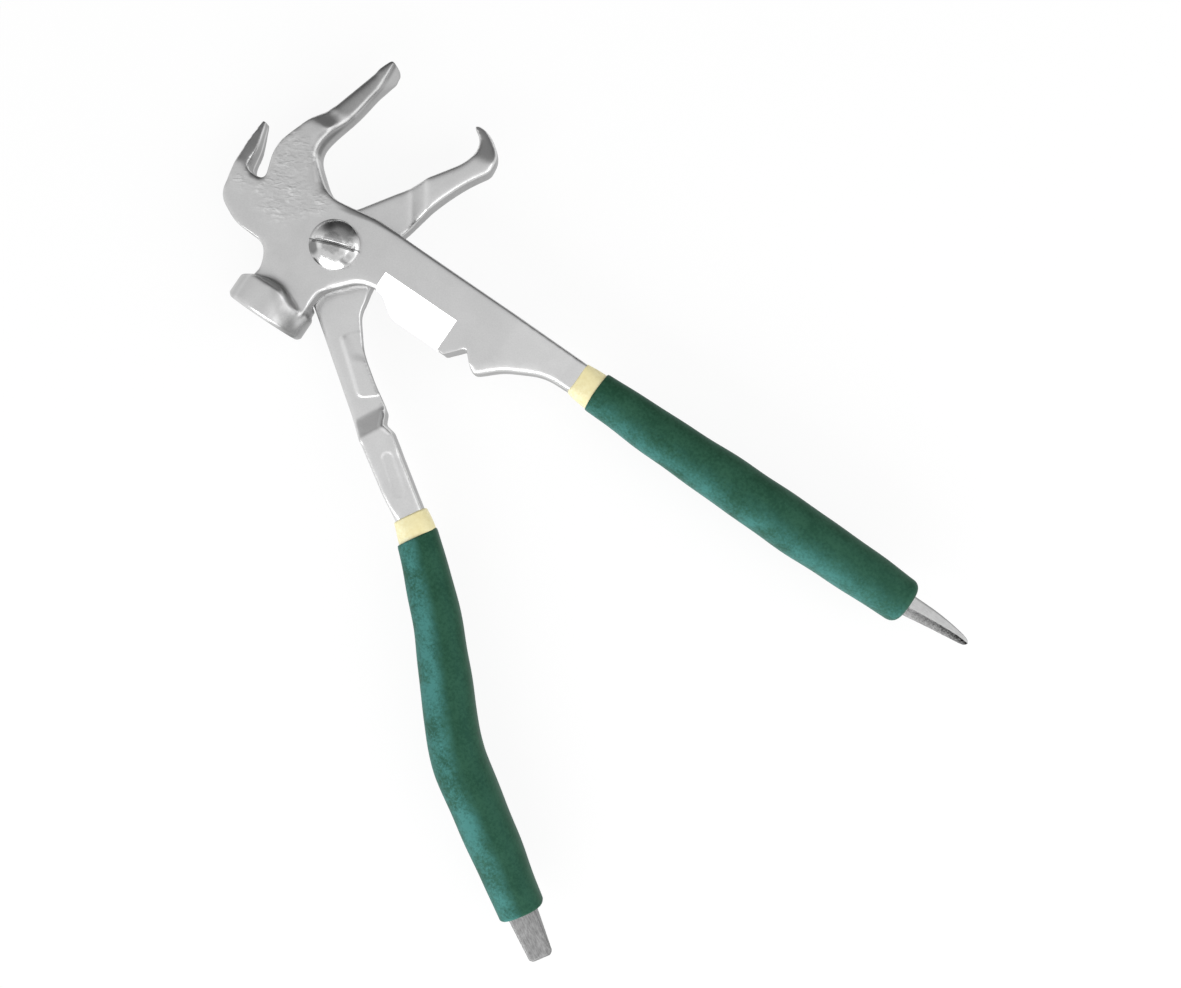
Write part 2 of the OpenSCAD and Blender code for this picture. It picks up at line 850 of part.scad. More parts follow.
// Cream layer: a collar that thickens up to the sleeve, then even to its end
module liner(path, stops) {
    tube(
        [
            for (d = stops)
                let (wall = liner_wall_at(d - stops[0]))
                ring(path, d, tang_w / 2 + wall, tang_t / 2 + wall, outer_squareness)
        ],
        [for (d = stops) ring(path, d, tang_w / 2 + grip_gap, tang_t / 2 + grip_gap, inner_squareness)]
    );
}

// Wall of a sleeve at a share t of its length
function sleeve_wall(t, wall_end) =
    t < belly_at
        ? sleeve_wall_front + (sleeve_wall_belly - sleeve_wall_front) * sin(90 * t / belly_at)
        : wall_end + (sleeve_wall_belly - wall_end) * cos(90 * (t - belly_at) / (1 - belly_at));

// Green sleeve that covers the liner and closes round the bar's end
module sleeve(path, stops, length, wall_end, end_r) {
    front = stops[collar_steps];
    round_steps = 4;
    seats = [for (i = [collar_steps:len(stops) - 1]) stops[i]];
    closing = [
        for (i = [0:round_steps])
            front + length - end_r * (1 - sin(90 * i / round_steps))
    ];
    walls = [
        for (d = concat(seats, [stops[len(stops) - 1] + grip_gap], closing))
            let (
                near_end = max(0, d - front - length + end_r),
                inset = end_r - sqrt(end_r ^ 2 - near_end ^ 2)
            )
            [d, liner_wall + sleeve_wall((d - front) / length, wall_end) - inset]
    ];
    seat = liner_wall + grip_gap;
    tube(
        [for (s = walls) ring(path, s[0], tang_w / 2 + s[1], tang_t / 2 + s[1], outer_squareness)],
        [
            for (s = walls)
                let (seated = s[0] <= stops[len(stops) - 1])
                ring(
                    path,
                    s[0],
                    tang_w / 2 + (seated ? seat : grip_gap),
                    tang_t / 2 + (seated ? seat : grip_gap),
                    seated ? outer_squareness : inner_squareness
                )
        ]
    );
}

module hammer_grip_liner() {
    color(cream)
        liner(grip_path, grip_stops(0, sleeve_len));
}

module hammer_grip_sleeve() {
    color(green)
        sleeve(grip_path, grip_stops(0, sleeve_len), sleeve_len, sleeve_wall_end, sleeve_end_r);
}

module jaw_grip_liner() {
    color(cream)
        rotate([0, 0, -open_angle])
            liner(jaw_handle_path, jaw_stops);
}

module jaw_grip_sleeve() {
    color(green)
        rotate([0, 0, -open_angle])
            sleeve(jaw_handle_path, jaw_stops, jaw_sleeve_len, jaw_sleeve_wall_end, jaw_sleeve_end_r);
}

hammer_lever();
jaw_lever();
pivot_screw();
pivot_washer();
pivot_nut();
hammer_grip_liner();
hammer_grip_sleeve();
jaw_grip_liner();
jaw_grip_sleeve();
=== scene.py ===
import math

import bmesh
import bpy
import numpy as np
from mathutils import Matrix, Vector


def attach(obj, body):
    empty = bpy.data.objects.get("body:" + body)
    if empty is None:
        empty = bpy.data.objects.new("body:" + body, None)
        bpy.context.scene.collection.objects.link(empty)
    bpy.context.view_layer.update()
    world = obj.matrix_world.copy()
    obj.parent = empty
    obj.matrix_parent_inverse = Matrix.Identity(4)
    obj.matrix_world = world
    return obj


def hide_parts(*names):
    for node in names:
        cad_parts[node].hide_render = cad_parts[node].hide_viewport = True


# Shapes are drawn in millimetres. The camera, the lamps and the floor are in metres.
MM = 0.001

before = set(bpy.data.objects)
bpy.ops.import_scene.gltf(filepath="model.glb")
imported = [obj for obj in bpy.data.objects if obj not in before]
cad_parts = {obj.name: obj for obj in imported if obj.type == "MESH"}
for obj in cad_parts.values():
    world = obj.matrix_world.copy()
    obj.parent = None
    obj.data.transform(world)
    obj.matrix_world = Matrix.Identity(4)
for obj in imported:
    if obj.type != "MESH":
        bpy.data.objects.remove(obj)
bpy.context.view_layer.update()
scene = bpy.context.scene
scene.view_settings.view_transform = "Standard"


# Camera: straight above the tool, turned so that the hammer lever's handle runs down to the right

PICTURE_TURN = 34.3
CAMERA_PLACE = (0.1033, -0.0181, 0.343)
camera_data = bpy.data.cameras.new("camera")
camera_data.lens = 33.53
camera_data.sensor_width = 36.0
camera_data.clip_start = 0.01
camera = bpy.data.objects.new("camera", camera_data)
scene.collection.objects.link(camera)
camera_turn = Matrix.Rotation(math.radians(PICTURE_TURN), 4, "Z")
camera.matrix_world = Matrix.Translation(CAMERA_PLACE) @ camera_turn
scene.camera = camera


# Meshes

def add_object(name, mesh):
    obj = bpy.data.objects.new(name, mesh)
    scene.collection.objects.link(obj)
    return obj


def mesh_of(name, points, faces):
    mesh = bpy.data.meshes.new(name)
    mesh.from_pydata([tuple(p) for p in points], [], faces)
    mesh.update()
    return mesh


def points_of(mesh):
    """The mesh's points, in millimetres."""
    flat = np.empty(len(mesh.vertices) * 3)
    mesh.vertices.foreach_get("co", flat)
    return flat.reshape(-1, 3) / MM


def set_points(mesh, points):
    mesh.vertices.foreach_set("co", (points * MM).ravel())
    mesh.update()


def baked(obj):
    """obj's mesh with its modifiers applied."""
    graph = bpy.context.evaluated_depsgraph_get()
    graph.update()
    mesh = bpy.data.meshes.new_from_object(obj.evaluated_get(graph))
    old = obj.data
    obj.modifiers.clear()
    obj.data = mesh
    bpy.data.meshes.remove(old)
    return obj


def prism(outline, low, high):
    """A closed prism of a plan outline, in millimetres, between two heights."""
    count = len(outline)
    points = [(x * MM, y * MM, z * MM) for z in (low, high) for x, y in outline]
    faces = [tuple(range(count - 1, -1, -1)), tuple(range(count, 2 * count))]
    for i in range(count):
        k = (i + 1) % count
        faces.append((i, k, count + k, count + i))
    return points, faces


def fine_copy(name, node, voxel, fillers=()):
    """A copy of a CAD node, with fillers added to it, as one even, fine mesh."""
    work = bmesh.new()
    work.from_mesh(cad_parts[node].data)
    bmesh.ops.remove_doubles(work, verts=work.verts, dist=1e-6)
    for points, faces in fillers:
        corners = [work.verts.new(p) for p in points]
        for face in faces:
            work.faces.new([corners[i] for i in face])
    mesh = bpy.data.meshes.new(name)
    work.to_mesh(mesh)
    work.free()
    mesh.materials.clear()
    obj = add_object(name, mesh)
    grid = obj.modifiers.new("grid", "REMESH")
    grid.mode = "VOXEL"
    grid.voxel_size = voxel * MM
    return baked(obj)


def edges_of(mesh):
    flat = np.empty(len(mesh.edges) * 2, np.int64)
    mesh.edges.foreach_get("vertices", flat)
    return flat.reshape(-1, 2)


def relax(mesh, rounds):
    """Evens out the mesh: each point moves towards its neighbours for as many rounds as it is given."""
    points = points_of(mesh)
    start, end = edges_of(mesh).T
    count = len(points)
    degree = np.bincount(start, minlength=count) + np.bincount(end, minlength=count)
    for step in range(int(rounds.max())):
        share = np.clip(rounds - step, 0, 1) * 0.5
        mean = np.stack([
            np.bincount(start, points[end, k], count) + np.bincount(end, points[start, k], count)
            for k in range(3)
        ], 1) / degree[:, None]
        points += share[:, None] * (mean - points)
    set_points(mesh, points)
    return points


def near(points, line, inner, outer):
    """1 within the inner distance of a plan line x, y, x, y..., falling to 0 at the outer distance."""
    corners = np.array(line, float).reshape(-1, 2)
    away = np.full(len(points), 1e9)
    for a, b in zip(corners, corners[1:]):
        span = b - a
        along = np.clip(((points[:, :2] - a) @ span) / max(span @ span, 1e-9), 0, 1)
        away = np.minimum(away, np.linalg.norm(points[:, :2] - a - along[:, None] * span, axis=1))
    t = np.clip((outer - away) / (outer - inner), 0, 1)
    return t * t * (3 - 2 * t)


def smooth_step(t):
    t = np.clip(t, 0, 1)
    return t * t * (3 - 2 * t)


def rounding(points, usual, places):
    """Rounds of evening for each point: the usual number, but others near some places."""
    rounds = np.full(len(points), float(usual))
    for centre, inner, outer, value in places:
        share = near(points, centre, inner, outer)
        rounds += share * (value - rounds)
    return rounds


def normals_of(mesh):
    flat = np.empty(len(mesh.vertices) * 3)
    mesh.vertices.foreach_get("normal", flat)
    return flat.reshape(-1, 3)


def store_painted_shading(obj, amount):
    """Stores how much lighter or darker than its material the surface is painted at each point: painted
    highlights and painted shade.
    """
    layer = obj.data.attributes.new("painted_shading", "FLOAT", "POINT")
    layer.data.foreach_set("value", amount)


def cut(obj, points, faces, material=None):
    """Cuts a closed shape out of obj with sharp edges. The cut faces take the material."""
    mesh = mesh_of(obj.name + "_cutter", points, faces)
    tool = add_object(obj.name + "_cutter", mesh)
    if material:
        for kind in (obj.data.materials[0], material):
            mesh.materials.append(kind)
        mesh.polygons.foreach_set("material_index", [1] * len(mesh.polygons))
        if material.name not in obj.data.materials:
            obj.data.materials.append(material)
    carve = obj.modifiers.new("cut", "BOOLEAN")
    carve.operation = "DIFFERENCE"
    carve.solver = "EXACT"
    carve.object = tool
    baked(obj)
    bpy.data.objects.remove(tool)


def shade(obj, sharp):
    """Shades obj smooth, with edges that turn by more than sharp degrees left sharp."""
    obj.data.shade_smooth()
    obj.data.set_sharp_from_angle(angle=math.radians(sharp))


def turned(points, degrees):
    """Points turned about the pivot axis."""
    c, s = math.cos(math.radians(degrees)), math.sin(math.radians(degrees))
    points = np.asarray(points, float)
    out = points.copy()
    out[..., 0] = c * points[..., 0] - s * points[..., 1]
    out[..., 1] = s * points[..., 0] + c * points[..., 1]
    return out


# Materials

class Nodes:
    """Short names for building a material's nodes."""

    def __init__(self, name):
        self.material = bpy.data.materials.new(name)
        self.material.use_nodes = True
        self.tree = self.material.node_tree
        self.shader = self.tree.nodes["Principled BSDF"]
        self.place = self.add("ShaderNodeTexCoord").outputs["Object"]

    def add(self, kind, **settings):
        node = self.tree.nodes.new(kind)
        for key, value in settings.items():
            setattr(node, key, value)
        return node

    def put(self, socket, value):
        if isinstance(value, bpy.types.NodeSocket):
            self.tree.links.new(value, socket)
        else:
            socket.default_value = value

    def maths(self, operation, a, b=0.0):
        node = self.add("ShaderNodeMath", operation=operation)
        for socket, value in zip(node.inputs, (a, b)):
            self.put(socket, value)
        return node.outputs[0]

    def noise(self, size, detail=2.0, roughness=0.5, stretch=(1, 1, 1), turn=0.0, distortion=0.0):
        """Noise whose lumps are about size millimetres, stretched along axes turned by turn degrees."""
        mapping = self.add("ShaderNodeMapping", vector_type="TEXTURE")
        mapping.inputs["Rotation"].default_value = (0, 0, math.radians(turn))
        mapping.inputs["Scale"].default_value = stretch
        self.put(mapping.inputs["Vector"], self.place)
        noise = self.add("ShaderNodeTexNoise")
        noise.inputs["Scale"].default_value = 1 / (size * MM)
        noise.inputs["Detail"].default_value = detail
        noise.inputs["Roughness"].default_value = roughness
        noise.inputs["Distortion"].default_value = distortion
        self.put(noise.inputs["Vector"], mapping.outputs[0])
        return noise.outputs["Fac"]

    def spread(self, value, low, high, to_low, to_high, smooth=False):
        """The value's range from low to high, spread over to_low to to_high."""
        node = self.add("ShaderNodeMapRange")
        node.interpolation_type = "SMOOTHSTEP" if smooth else "LINEAR"
        for socket, v in zip(node.inputs, (value, low, high, to_low, to_high)):
            self.put(socket, v)
        return node.outputs[0]

    def blend(self, factor, a, b):
        node = self.add("ShaderNodeMix", data_type="RGBA")
        self.put(node.inputs[0], factor)
        self.put(node.inputs[6], a)
        self.put(node.inputs[7], b)
        return node.outputs[2]

    def ball(self, centre, inner, outer):
        """1 within the inner distance of a point, in millimetres, and 0 past the outer distance."""
        node = self.add("ShaderNodeVectorMath", operation="DISTANCE")
        self.put(node.inputs[0], self.place)
        node.inputs[1].default_value = [v * MM for v in centre]
        return self.spread(node.outputs["Value"], inner * MM, outer * MM, 1.0, 0.0, True)

    def point_value(self, name):
        return self.add("ShaderNodeAttribute", attribute_name=name).outputs["Fac"]

    def greys(self, value):
        colour = self.add("ShaderNodeCombineColor")
        for channel in ("Red", "Green", "Blue"):
            self.put(colour.inputs[channel], value)
        return colour.outputs[0]

    def bump(self, height, depth, below=None):
        node = self.add("ShaderNodeBump")
        node.inputs["Strength"].default_value = 1.0
        node.inputs["Distance"].default_value = depth * MM
        self.put(node.inputs["Height"], height)
        if below:
            self.put(node.inputs["Normal"], below)
        return node.outputs[0]


def grey(value):
    return (value, value, value, 1.0)


def forged_steel(name, ripples=(), tones=(0.62, 0.68)):
    """Plated forging: linished flats, darker sides (partly their finish, partly painted shade), painted
    highlights and painted shade from the points' values, fine grain, and ripples around some places with
    painted highlights on their crests.

    tones are the flats' greys at the jaws and at the handles; the darker jaws are painted shade."""
    n = Nodes(name)
    # The sides are darker and rougher than the flats: partly their as-forged finish, partly painted shade.
    side_tone, side_rough, flat_rough = 0.38, 0.44, 0.34
    facing = n.add("ShaderNodeSeparateXYZ")
    n.put(facing.inputs[0], n.add("ShaderNodeNewGeometry").outputs["Normal"])
    flat = n.spread(n.maths("ABSOLUTE", facing.outputs["Z"]), 0.05, 0.45, 0.0, 1.0, True)
    along = n.add("ShaderNodeSeparateXYZ")
    n.put(along.inputs[0], n.place)
    # Painted shade: the flats are darker at the jaws and lighter towards the handles.
    level = n.spread(along.outputs["X"], -0.03, 0.06, *tones, True)
    blotch = n.spread(n.noise(9, 3, 0.55), 0.3, 0.7, -0.02, 0.02)
    speck = n.spread(n.noise(0.4, 3, 0.65), 0.3, 0.7, -0.03, 0.03)
    tone = n.maths("ADD", n.spread(flat, 0, 1, side_tone, level), n.maths("ADD", blotch, speck))
    # Adds the painted highlights and painted shade that each point carries.
    tone = n.maths("ADD", tone, n.point_value("painted_shading"))
    n.shader.inputs["Metallic"].default_value = 1.0
    rough = n.spread(flat, 0, 1, side_rough, flat_rough)
    rough = n.maths("ADD", rough, n.spread(n.noise(3, 3), 0.3, 0.7, -0.03, 0.03))
    n.put(n.shader.inputs["Roughness"], rough)
    normal = n.bump(n.noise(0.3, 3, 0.6), 0.009)
    normal = n.bump(n.noise(2.6, 2, 0.5), 0.014, normal)
    if ripples:
        mask = None
        for centre, inner, outer in ripples:
            here = n.ball(centre, inner, outer)
            mask = here if mask is None else n.maths("MAXIMUM", mask, here)
        mask = n.maths("MULTIPLY", mask, n.spread(n.noise(4.5, 2), 0.38, 0.58, 0.35, 1.0))
        waves = n.noise(1.0, 1.5, 0.5, stretch=(2.2, 1, 1), turn=PICTURE_TURN, distortion=0.5)
        normal = n.bump(n.maths("MULTIPLY", waves, mask), 0.18, normal)
        # Painted highlights on the ripples' crests
        crest_highlights = n.spread(waves, 0.54, 0.72, 0.0, 0.16)
        tone = n.maths("ADD", tone, n.maths("MULTIPLY", mask, crest_highlights))
    n.put(n.shader.inputs["Base Color"], n.greys(tone))
    n.put(n.shader.inputs["Normal"], normal)
    return n.material


def ground_steel(name, turn, tones=(0.83, 0.91), roughness=0.22, depth=0.004, grain=(0.2, 16), blotch=0.0):
    """Ground flat with fine grinding lines along one direction.

    depth is that of the lines, and grain their width and how many times as long they are."""
    n = Nodes(name)
    lines = n.noise(grain[0], 3, 0.6, stretch=(grain[1], 1, 1), turn=turn)
    mix = n.maths("ADD", lines, n.maths("MULTIPLY", n.noise(2.5, 3), blotch))
    tone = n.spread(mix, 0.32, 0.68 + blotch, *tones)
    # The colour takes in the painted highlights and painted shade that each point carries.
    n.put(n.shader.inputs["Base Color"], n.greys(n.maths("ADD", tone, n.point_value("painted_shading"))))
    n.shader.inputs["Metallic"].default_value = 1.0
    n.put(n.shader.inputs["Roughness"], n.spread(lines, 0.3, 0.7, roughness - 0.04, roughness + 0.06))
    n.put(n.shader.inputs["Normal"], n.bump(lines, depth))
    return n.material


# Painted dark reflections on the screw's head: x, y, inner and outer distance, start from the axis, amount
SCREW_PAINTED_REFLECTIONS = (
    (-4.6, -4.4, 1.4, 3.0, 4.1, 0.9),
    (6.2, 0.1, 0.8, 2.4, 4.6, 0.8),
    (5.6, -1.7, 1.0, 2.4, 4.6, 0.8),
    (4.2, 2.6, 0.7, 2.3, 0.0, 0.75),
    (3.55, -0.93, 0.5, 1.7, 0.0, 0.5),
    (-3.4, 3.0, 0.8, 2.8, 0.0, 0.55),
)
SCREW_TOP_Z = 22


def screw_wear_and_painted_shade(n, colour, rough, turn, wear_and_highlight):
    """Colour and roughness of a slotted head: rubbed as far out as its last argument says, with painted shade
    in its slot and painted dark reflections on the head.
    """
    split = n.add("ShaderNodeSeparateXYZ")
    spin = n.add("ShaderNodeVectorRotate", rotation_type="Z_AXIS")
    n.put(spin.inputs["Vector"], n.place)
    spin.inputs["Angle"].default_value = math.radians(-turn)
    n.put(split.inputs[0], spin.outputs[0])
    across = split.outputs["Y"]
    flat_plan = n.add("ShaderNodeCombineXYZ")
    n.put(flat_plan.inputs["X"], split.outputs["X"])
    n.put(flat_plan.inputs["Y"], split.outputs["Y"])
    length = n.add("ShaderNodeVectorMath", operation="LENGTH")
    n.put(length.inputs[0], flat_plan.outputs[0])
    from_axis = length.outputs["Value"]

    ragged = n.maths("ADD", from_axis, n.maths("MULTIPLY", n.noise(1.6, 3, 0.6), 2.4 * MM))
    rubbed = n.spread(ragged, (wear_and_highlight + 0.6) * MM, (wear_and_highlight + 1.6) * MM, 1.0, 0.0, True)
    rubbed_colour = n.blend(n.noise(0.8, 3), grey(0.30), grey(0.52))
    colour = n.blend(n.maths("MULTIPLY", rubbed, 0.9), colour, rubbed_colour)
    rough = n.maths("ADD", rough, n.maths("MULTIPLY", rubbed, 0.12))

    # Painted shade in the slot, which is also rougher
    side = n.maths("ABSOLUTE", n.maths("ADD", across, 0.22 * MM))
    slot_shade = n.spread(side, 0.10 * MM, 0.26 * MM, 0.9, 0.0)
    colour = n.blend(slot_shade, colour, grey(0.12))
    # Painted dark reflections on the dome
    for x, y, inner, outer, clear, amount in SCREW_PAINTED_REFLECTIONS:
        rim = n.spread(from_axis, clear * MM, (clear + 1) * MM, 0.0, amount, True)
        dark_reflection = n.maths("MULTIPLY", n.ball((x, y, SCREW_TOP_Z), inner, outer), rim)
        colour = n.blend(dark_reflection, colour, grey(0.20))
    return colour, n.maths("ADD", rough, n.maths("MULTIPLY", slot_shade, 0.25))


def plated_steel(name, tone, roughness, slot=None):
    """Bright plated fastener with small pits and rubbed patches.

    slot is the turn of the slot in its head, and how far out the head is rubbed; with it come painted shade
    in the slot and painted dark reflections on the head."""
    n = Nodes(name)
    patch = n.noise(1.8, 3, 0.6)
    colour = n.blend(patch, grey(tone - 0.08), grey(tone + 0.04))
    rough = n.spread(patch, 0.3, 0.7, roughness - 0.04, roughness + 0.1)
    if slot:
        colour, rough = screw_wear_and_painted_shade(n, colour, rough, *slot)
    n.put(n.shader.inputs["Base Color"], colour)
    n.shader.inputs["Metallic"].default_value = 1.0
    n.put(n.shader.inputs["Roughness"], rough)
    normal = n.bump(n.noise(0.3, 2, 0.5), 0.006)
    n.put(n.shader.inputs["Normal"], n.bump(n.noise(2.2, 2, 0.5), 0.04, normal))
    return n.material


def dipped_plastic(name, dark, light, wear_and_highlight, lump, roughness, pits, specular, tint):
    """Dipped plastic: a soft mottle of two tones, a painted highlight in a lighter colour along one side, a
    fine pebbled skin and a low gloss.

    The third colour is that of the painted highlight, lump the mottle's size and pits the skin's depth, in
    millimetres."""
    n = Nodes(name)
    mottle = n.maths("ADD", n.noise(lump, 4, 0.65), n.spread(n.noise(lump * 7, 2), 0.3, 0.7, -0.1, 0.1))
    colour = n.blend(n.spread(mottle, 0.36, 0.64, 0.0, 1.0), dark, light)
    # Painted highlight: the lighter colour is laid along one side, in patches
    side = n.point_value("wear_and_highlight")
    patches = n.maths("ADD", n.noise(9, 3, 0.6), n.maths("MULTIPLY", n.noise(0.8, 3, 0.65), 0.8))
    rise = n.spread(side, -0.15, 0.55, 0.0, 1.0, True)
    fall = n.spread(side, 0.65, 1.0, 1.0, 0.7)
    share = n.maths("MULTIPLY", n.maths("MULTIPLY", rise, fall), n.spread(patches, 0.7, 1.1, 0.15, 1.3))
    n.put(n.shader.inputs["Base Color"], n.blend(share, colour, wear_and_highlight))
    rough = n.spread(n.noise(lump, 3), 0.3, 0.7, roughness - 0.06, roughness + 0.06)
    n.put(n.shader.inputs["Roughness"], rough)
    n.shader.inputs["IOR"].default_value = 1.45
    n.shader.inputs["Specular IOR Level"].default_value = specular
    n.shader.inputs["Specular Tint"].default_value = tint
    normal = n.bump(n.noise(0.5, 3, 0.6), pits)
    n.put(n.shader.inputs["Normal"], n.bump(n.noise(3.5, 2, 0.5), pits * 2.5, normal))
    return n.material


SLOT_TURN = 20.0
SLOT_HALF = 0.8
SLOT_RUBBED = 3.2
# Hammered ripples on the hammer lever's face, with painted highlights on their crests: centre, inner and
# outer distance
RIPPLES = [
    ((-25.5, 15, 19), 4.5, 8.5),
    ((-21, 4, 19), 6, 11),
    ((-11, 7.5, 19), 2, 5),
    ((-33, 1, 19), 1, 5),
]

hammer_steel = forged_steel("hammer_forged_steel", RIPPLES)
jaw_steel = forged_steel("jaw_forged_steel", tones=(0.66, 0.70))
cutter_steel = ground_steel("cutter_ground_steel", 90)
blade_steel = ground_steel(
    "blade_ground_steel", -33, tones=(0.09, 0.28), roughness=0.42, depth=0.022, grain=(0.4, 9), blotch=0.3
)
pick_steel = ground_steel(
    "pick_ground_steel", 0, tones=(0.62, 0.86), roughness=0.36, depth=0.014, grain=(0.3, 4), blotch=0.4
)
pick_rough_steel = ground_steel(
    "pick_rough_steel", 0, tones=(0.04, 0.44), roughness=0.5, depth=0.100, grain=(0.35, 1.5), blotch=0.3
)
bright_steel = plated_steel("screw_bright_steel", 0.72, 0.13, (SLOT_TURN, SLOT_RUBBED))
nut_steel = plated_steel("nut_bright_steel", 0.66, 0.26)
# The third colour of each plastic is a painted highlight, laid along one side of its grips.
green_plastic = dipped_plastic(
    "green_dipped_plastic",
    dark=(0.013, 0.050, 0.022, 1), light=(0.025, 0.080, 0.042, 1), wear_and_highlight=(0.057, 0.196, 0.177, 1),
    lump=0.9, roughness=0.58, pits=0.03, specular=0.4, tint=(0.3, 0.9, 0.95, 1),
)
cream_plastic = dipped_plastic(
    "cream_dipped_plastic",
    dark=(0.80, 0.71, 0.38, 1), light=(0.86, 0.78, 0.46, 1), wear_and_highlight=(0.90, 0.87, 0.60, 1),
    lump=1.6, roughness=0.5, pits=0.01, specular=0.5, tint=(1, 1, 1, 1),
)


# Levers

# How far the jaw lever lies open. Places on it are given as they are once it is turned back by this angle.
OPEN_ANGLE = 27.5
FRONT_Z = 19.5
LAP_Z = 13.1
LEVER_VOXEL = 0.33
# Ground bevel of the cutter: its ends along the handle, how far its edge and its back lie from the axis,
# and the height of the edge above the lap
CUTTER = dict(start=16.8, end=42.0, edge=8.6, back=1.8, land=0.4)


def end_material(obj, material, wanted):
    """Gives a second material to the faces that are wanted by their centres."""
    mesh = obj.data
    mesh.materials.append(material)
    centres = np.empty(len(mesh.polygons) * 3)
    mesh.polygons.foreach_get("center", centres)
    slots = np.empty(len(mesh.polygons), np.int32)
    mesh.polygons.foreach_get("material_index", slots)
    slots[wanted(centres.reshape(-1, 3) / MM)] = len(mesh.materials) - 1
    mesh.polygons.foreach_set("material_index", slots)


PICK_CUT = 197.5
PICK_Z = 13
PICK_STATIONS = [195, 199, 202, 205, 208, 211, 213.5, 216, 218, 219.6, 220.8, 221.5, 221.9]
# The pick's upper edge, lower edge, ridge and half thickness along it
PICK_UPPER = (
    [195, 201.4, 208, 210.6, 213.7, 217.2, 219.6, 220.8, 221.5, 221.9],
    [11.3, 11.4, 11.35, 11.2, 10.95, 10.5, 10.05, 9.7, 9.35, 8.9],
)
PICK_LOWER = (
    [195, 201, 205.6, 210.3, 213.9, 217.4, 219.6, 220.8, 221.5, 221.9],
    [4.0, 4.6, 5.3, 6.0, 6.4, 6.9, 7.15, 7.4, 7.75, 8.2],
)
PICK_RIDGE = ([195, 201.8, 206.9, 212.4, 217.8, 221.9], [7.2, 7.6, 8.1, 8.6, 8.8, 8.6])
PICK_HALF = ([195, 200, 219.6, 220.8, 221.5, 221.9], [3.0, 3.0, 1.15, 0.9, 0.65, 0.35])
PICK_SIDES = 8
PICK_SMOOTH_SIDES = (0, 1, 6, 7)


def add_pick(obj):
    """Adds the pick, drawn through stations along it, to the lever that it belongs to.

    Its two upper sides are ground, its two lower ones rough, and its upper edge is chamfered, with painted
    shade along it."""
    mesh = obj.data
    slots = []
    for material in (pick_steel, pick_rough_steel):
        mesh.materials.append(material)
        slots.append(len(mesh.materials) - 1)
    xs = PICK_STATIONS
    upper, lower, ridge, half = (
        np.interp(xs, *line) for line in (PICK_UPPER, PICK_LOWER, PICK_RIDGE, PICK_HALF)
    )
    work = bmesh.new()
    work.from_mesh(mesh)
    layer = work.verts.layers.float["painted_shading"]
    rings = []
    for x, u, w, r, h in zip(xs, upper, lower, ridge, half):
        below = r + 0.15 * (w - r)
        ring = []
        rim = u - 0.22 * (u - r)
        # Painted shade along the upper edge; the lower sides are darker near the ridge, and all of it is
        # darker towards the tip.
        tip_darkening = 0.08 - 0.22 * (x - PICK_CUT) / 24
        for y, z, value in (
            (u, 0, -0.55), (rim, 0.30 * h, 0.0), (r, h, 0.0), (below, 0.85 * h, -0.12), (w, 0, 0.04),
            (below, -0.85 * h, -0.12), (r, -h, 0.0), (rim, -0.30 * h, 0.0)
        ):
            corner = work.verts.new((x * MM, y * MM, (PICK_Z + z) * MM))
            corner[layer] = value + tip_darkening
            ring.append(corner)
        rings.append(ring)
    for a, b in zip(rings, rings[1:]):
        for i in range(PICK_SIDES):
            k = (i + 1) % PICK_SIDES
            face = work.faces.new([a[i], a[k], b[k], b[i]])
            face.material_index = slots[0] if i in PICK_SMOOTH_SIDES else slots[1]
    for ring in (rings[0][::-1], rings[-1]):
        work.faces.new(ring).material_index = slots[0]
    fresh = [face for ring in rings for corner in ring for face in corner.link_faces]
    bmesh.ops.recalc_face_normals(work, faces=list(set(fresh)))
    work.to_mesh(mesh)
    work.free()


# The hammer lever's edge from the jaws' mouth along the top of the handle
UPPER_EDGE = (-6.3, 9.8, 4.6, 12.4, 13.8, 13.5, 28.4, 13.1, 43.4, 13.4, 64.0, 13.2, 81.3, 13.1)
# Rounds of evening: the usual number, the number inside the grips, and where the grips take over
HAMMER_ROUNDS = 36
JAW_ROUNDS = 42
TANG_ROUNDS = 3
TANG_FROM = 84
# Places of the hammer lever that are rounded more or less: plan line, inner and outer distance, rounds
HAMMER_PLACES = [
    ((-36, -6, -23, -10.5), 2, 5, 16),  # cheek between claw and barrel
    ((-29, 8, -29.5, 20), 1, 3.5, 18),  # claw slot
    ((-14, 12, -19, 17.5, -21, 21.6, -21.5, 25.7, -20, 29.3, -18.4, 35, -17, 43), 1.8, 3.6, 120),  # mouth
    ((-22, 37, -18.5, 50), 3, 5, 90),  # jaw's face
    ((-26.5, 29, -23, 29), 1.5, 3.0, 20),  # step of the jaw
    ((-18, 53, -15, 54), 2.5, 4.5, 30),  # jaw's tip
    ((-40, 19, -37, 12), 2, 6, 10),  # claw's prong
    ((45, -9, 56, -7), 3, 7, 6),  # wire notch
    ((8, -9.5, 11.6, -6, 16, -4.2), 2.5, 4.5, 100),  # corner in front of the cutter
    ((56, -8.4, 59.5, -4.6, 63.4, -1.5, 67, 0.8, 72, 2.4, 80, 3.1), 2.5, 4.5, 100),  # handle's lower edge
    ((-18, -24.5, 5, -24.5), 4.5, 6.5, 9),  # barrel
    ((-18, -30, 6, -30), 1.5, 3.5, 4),  # striking face
]
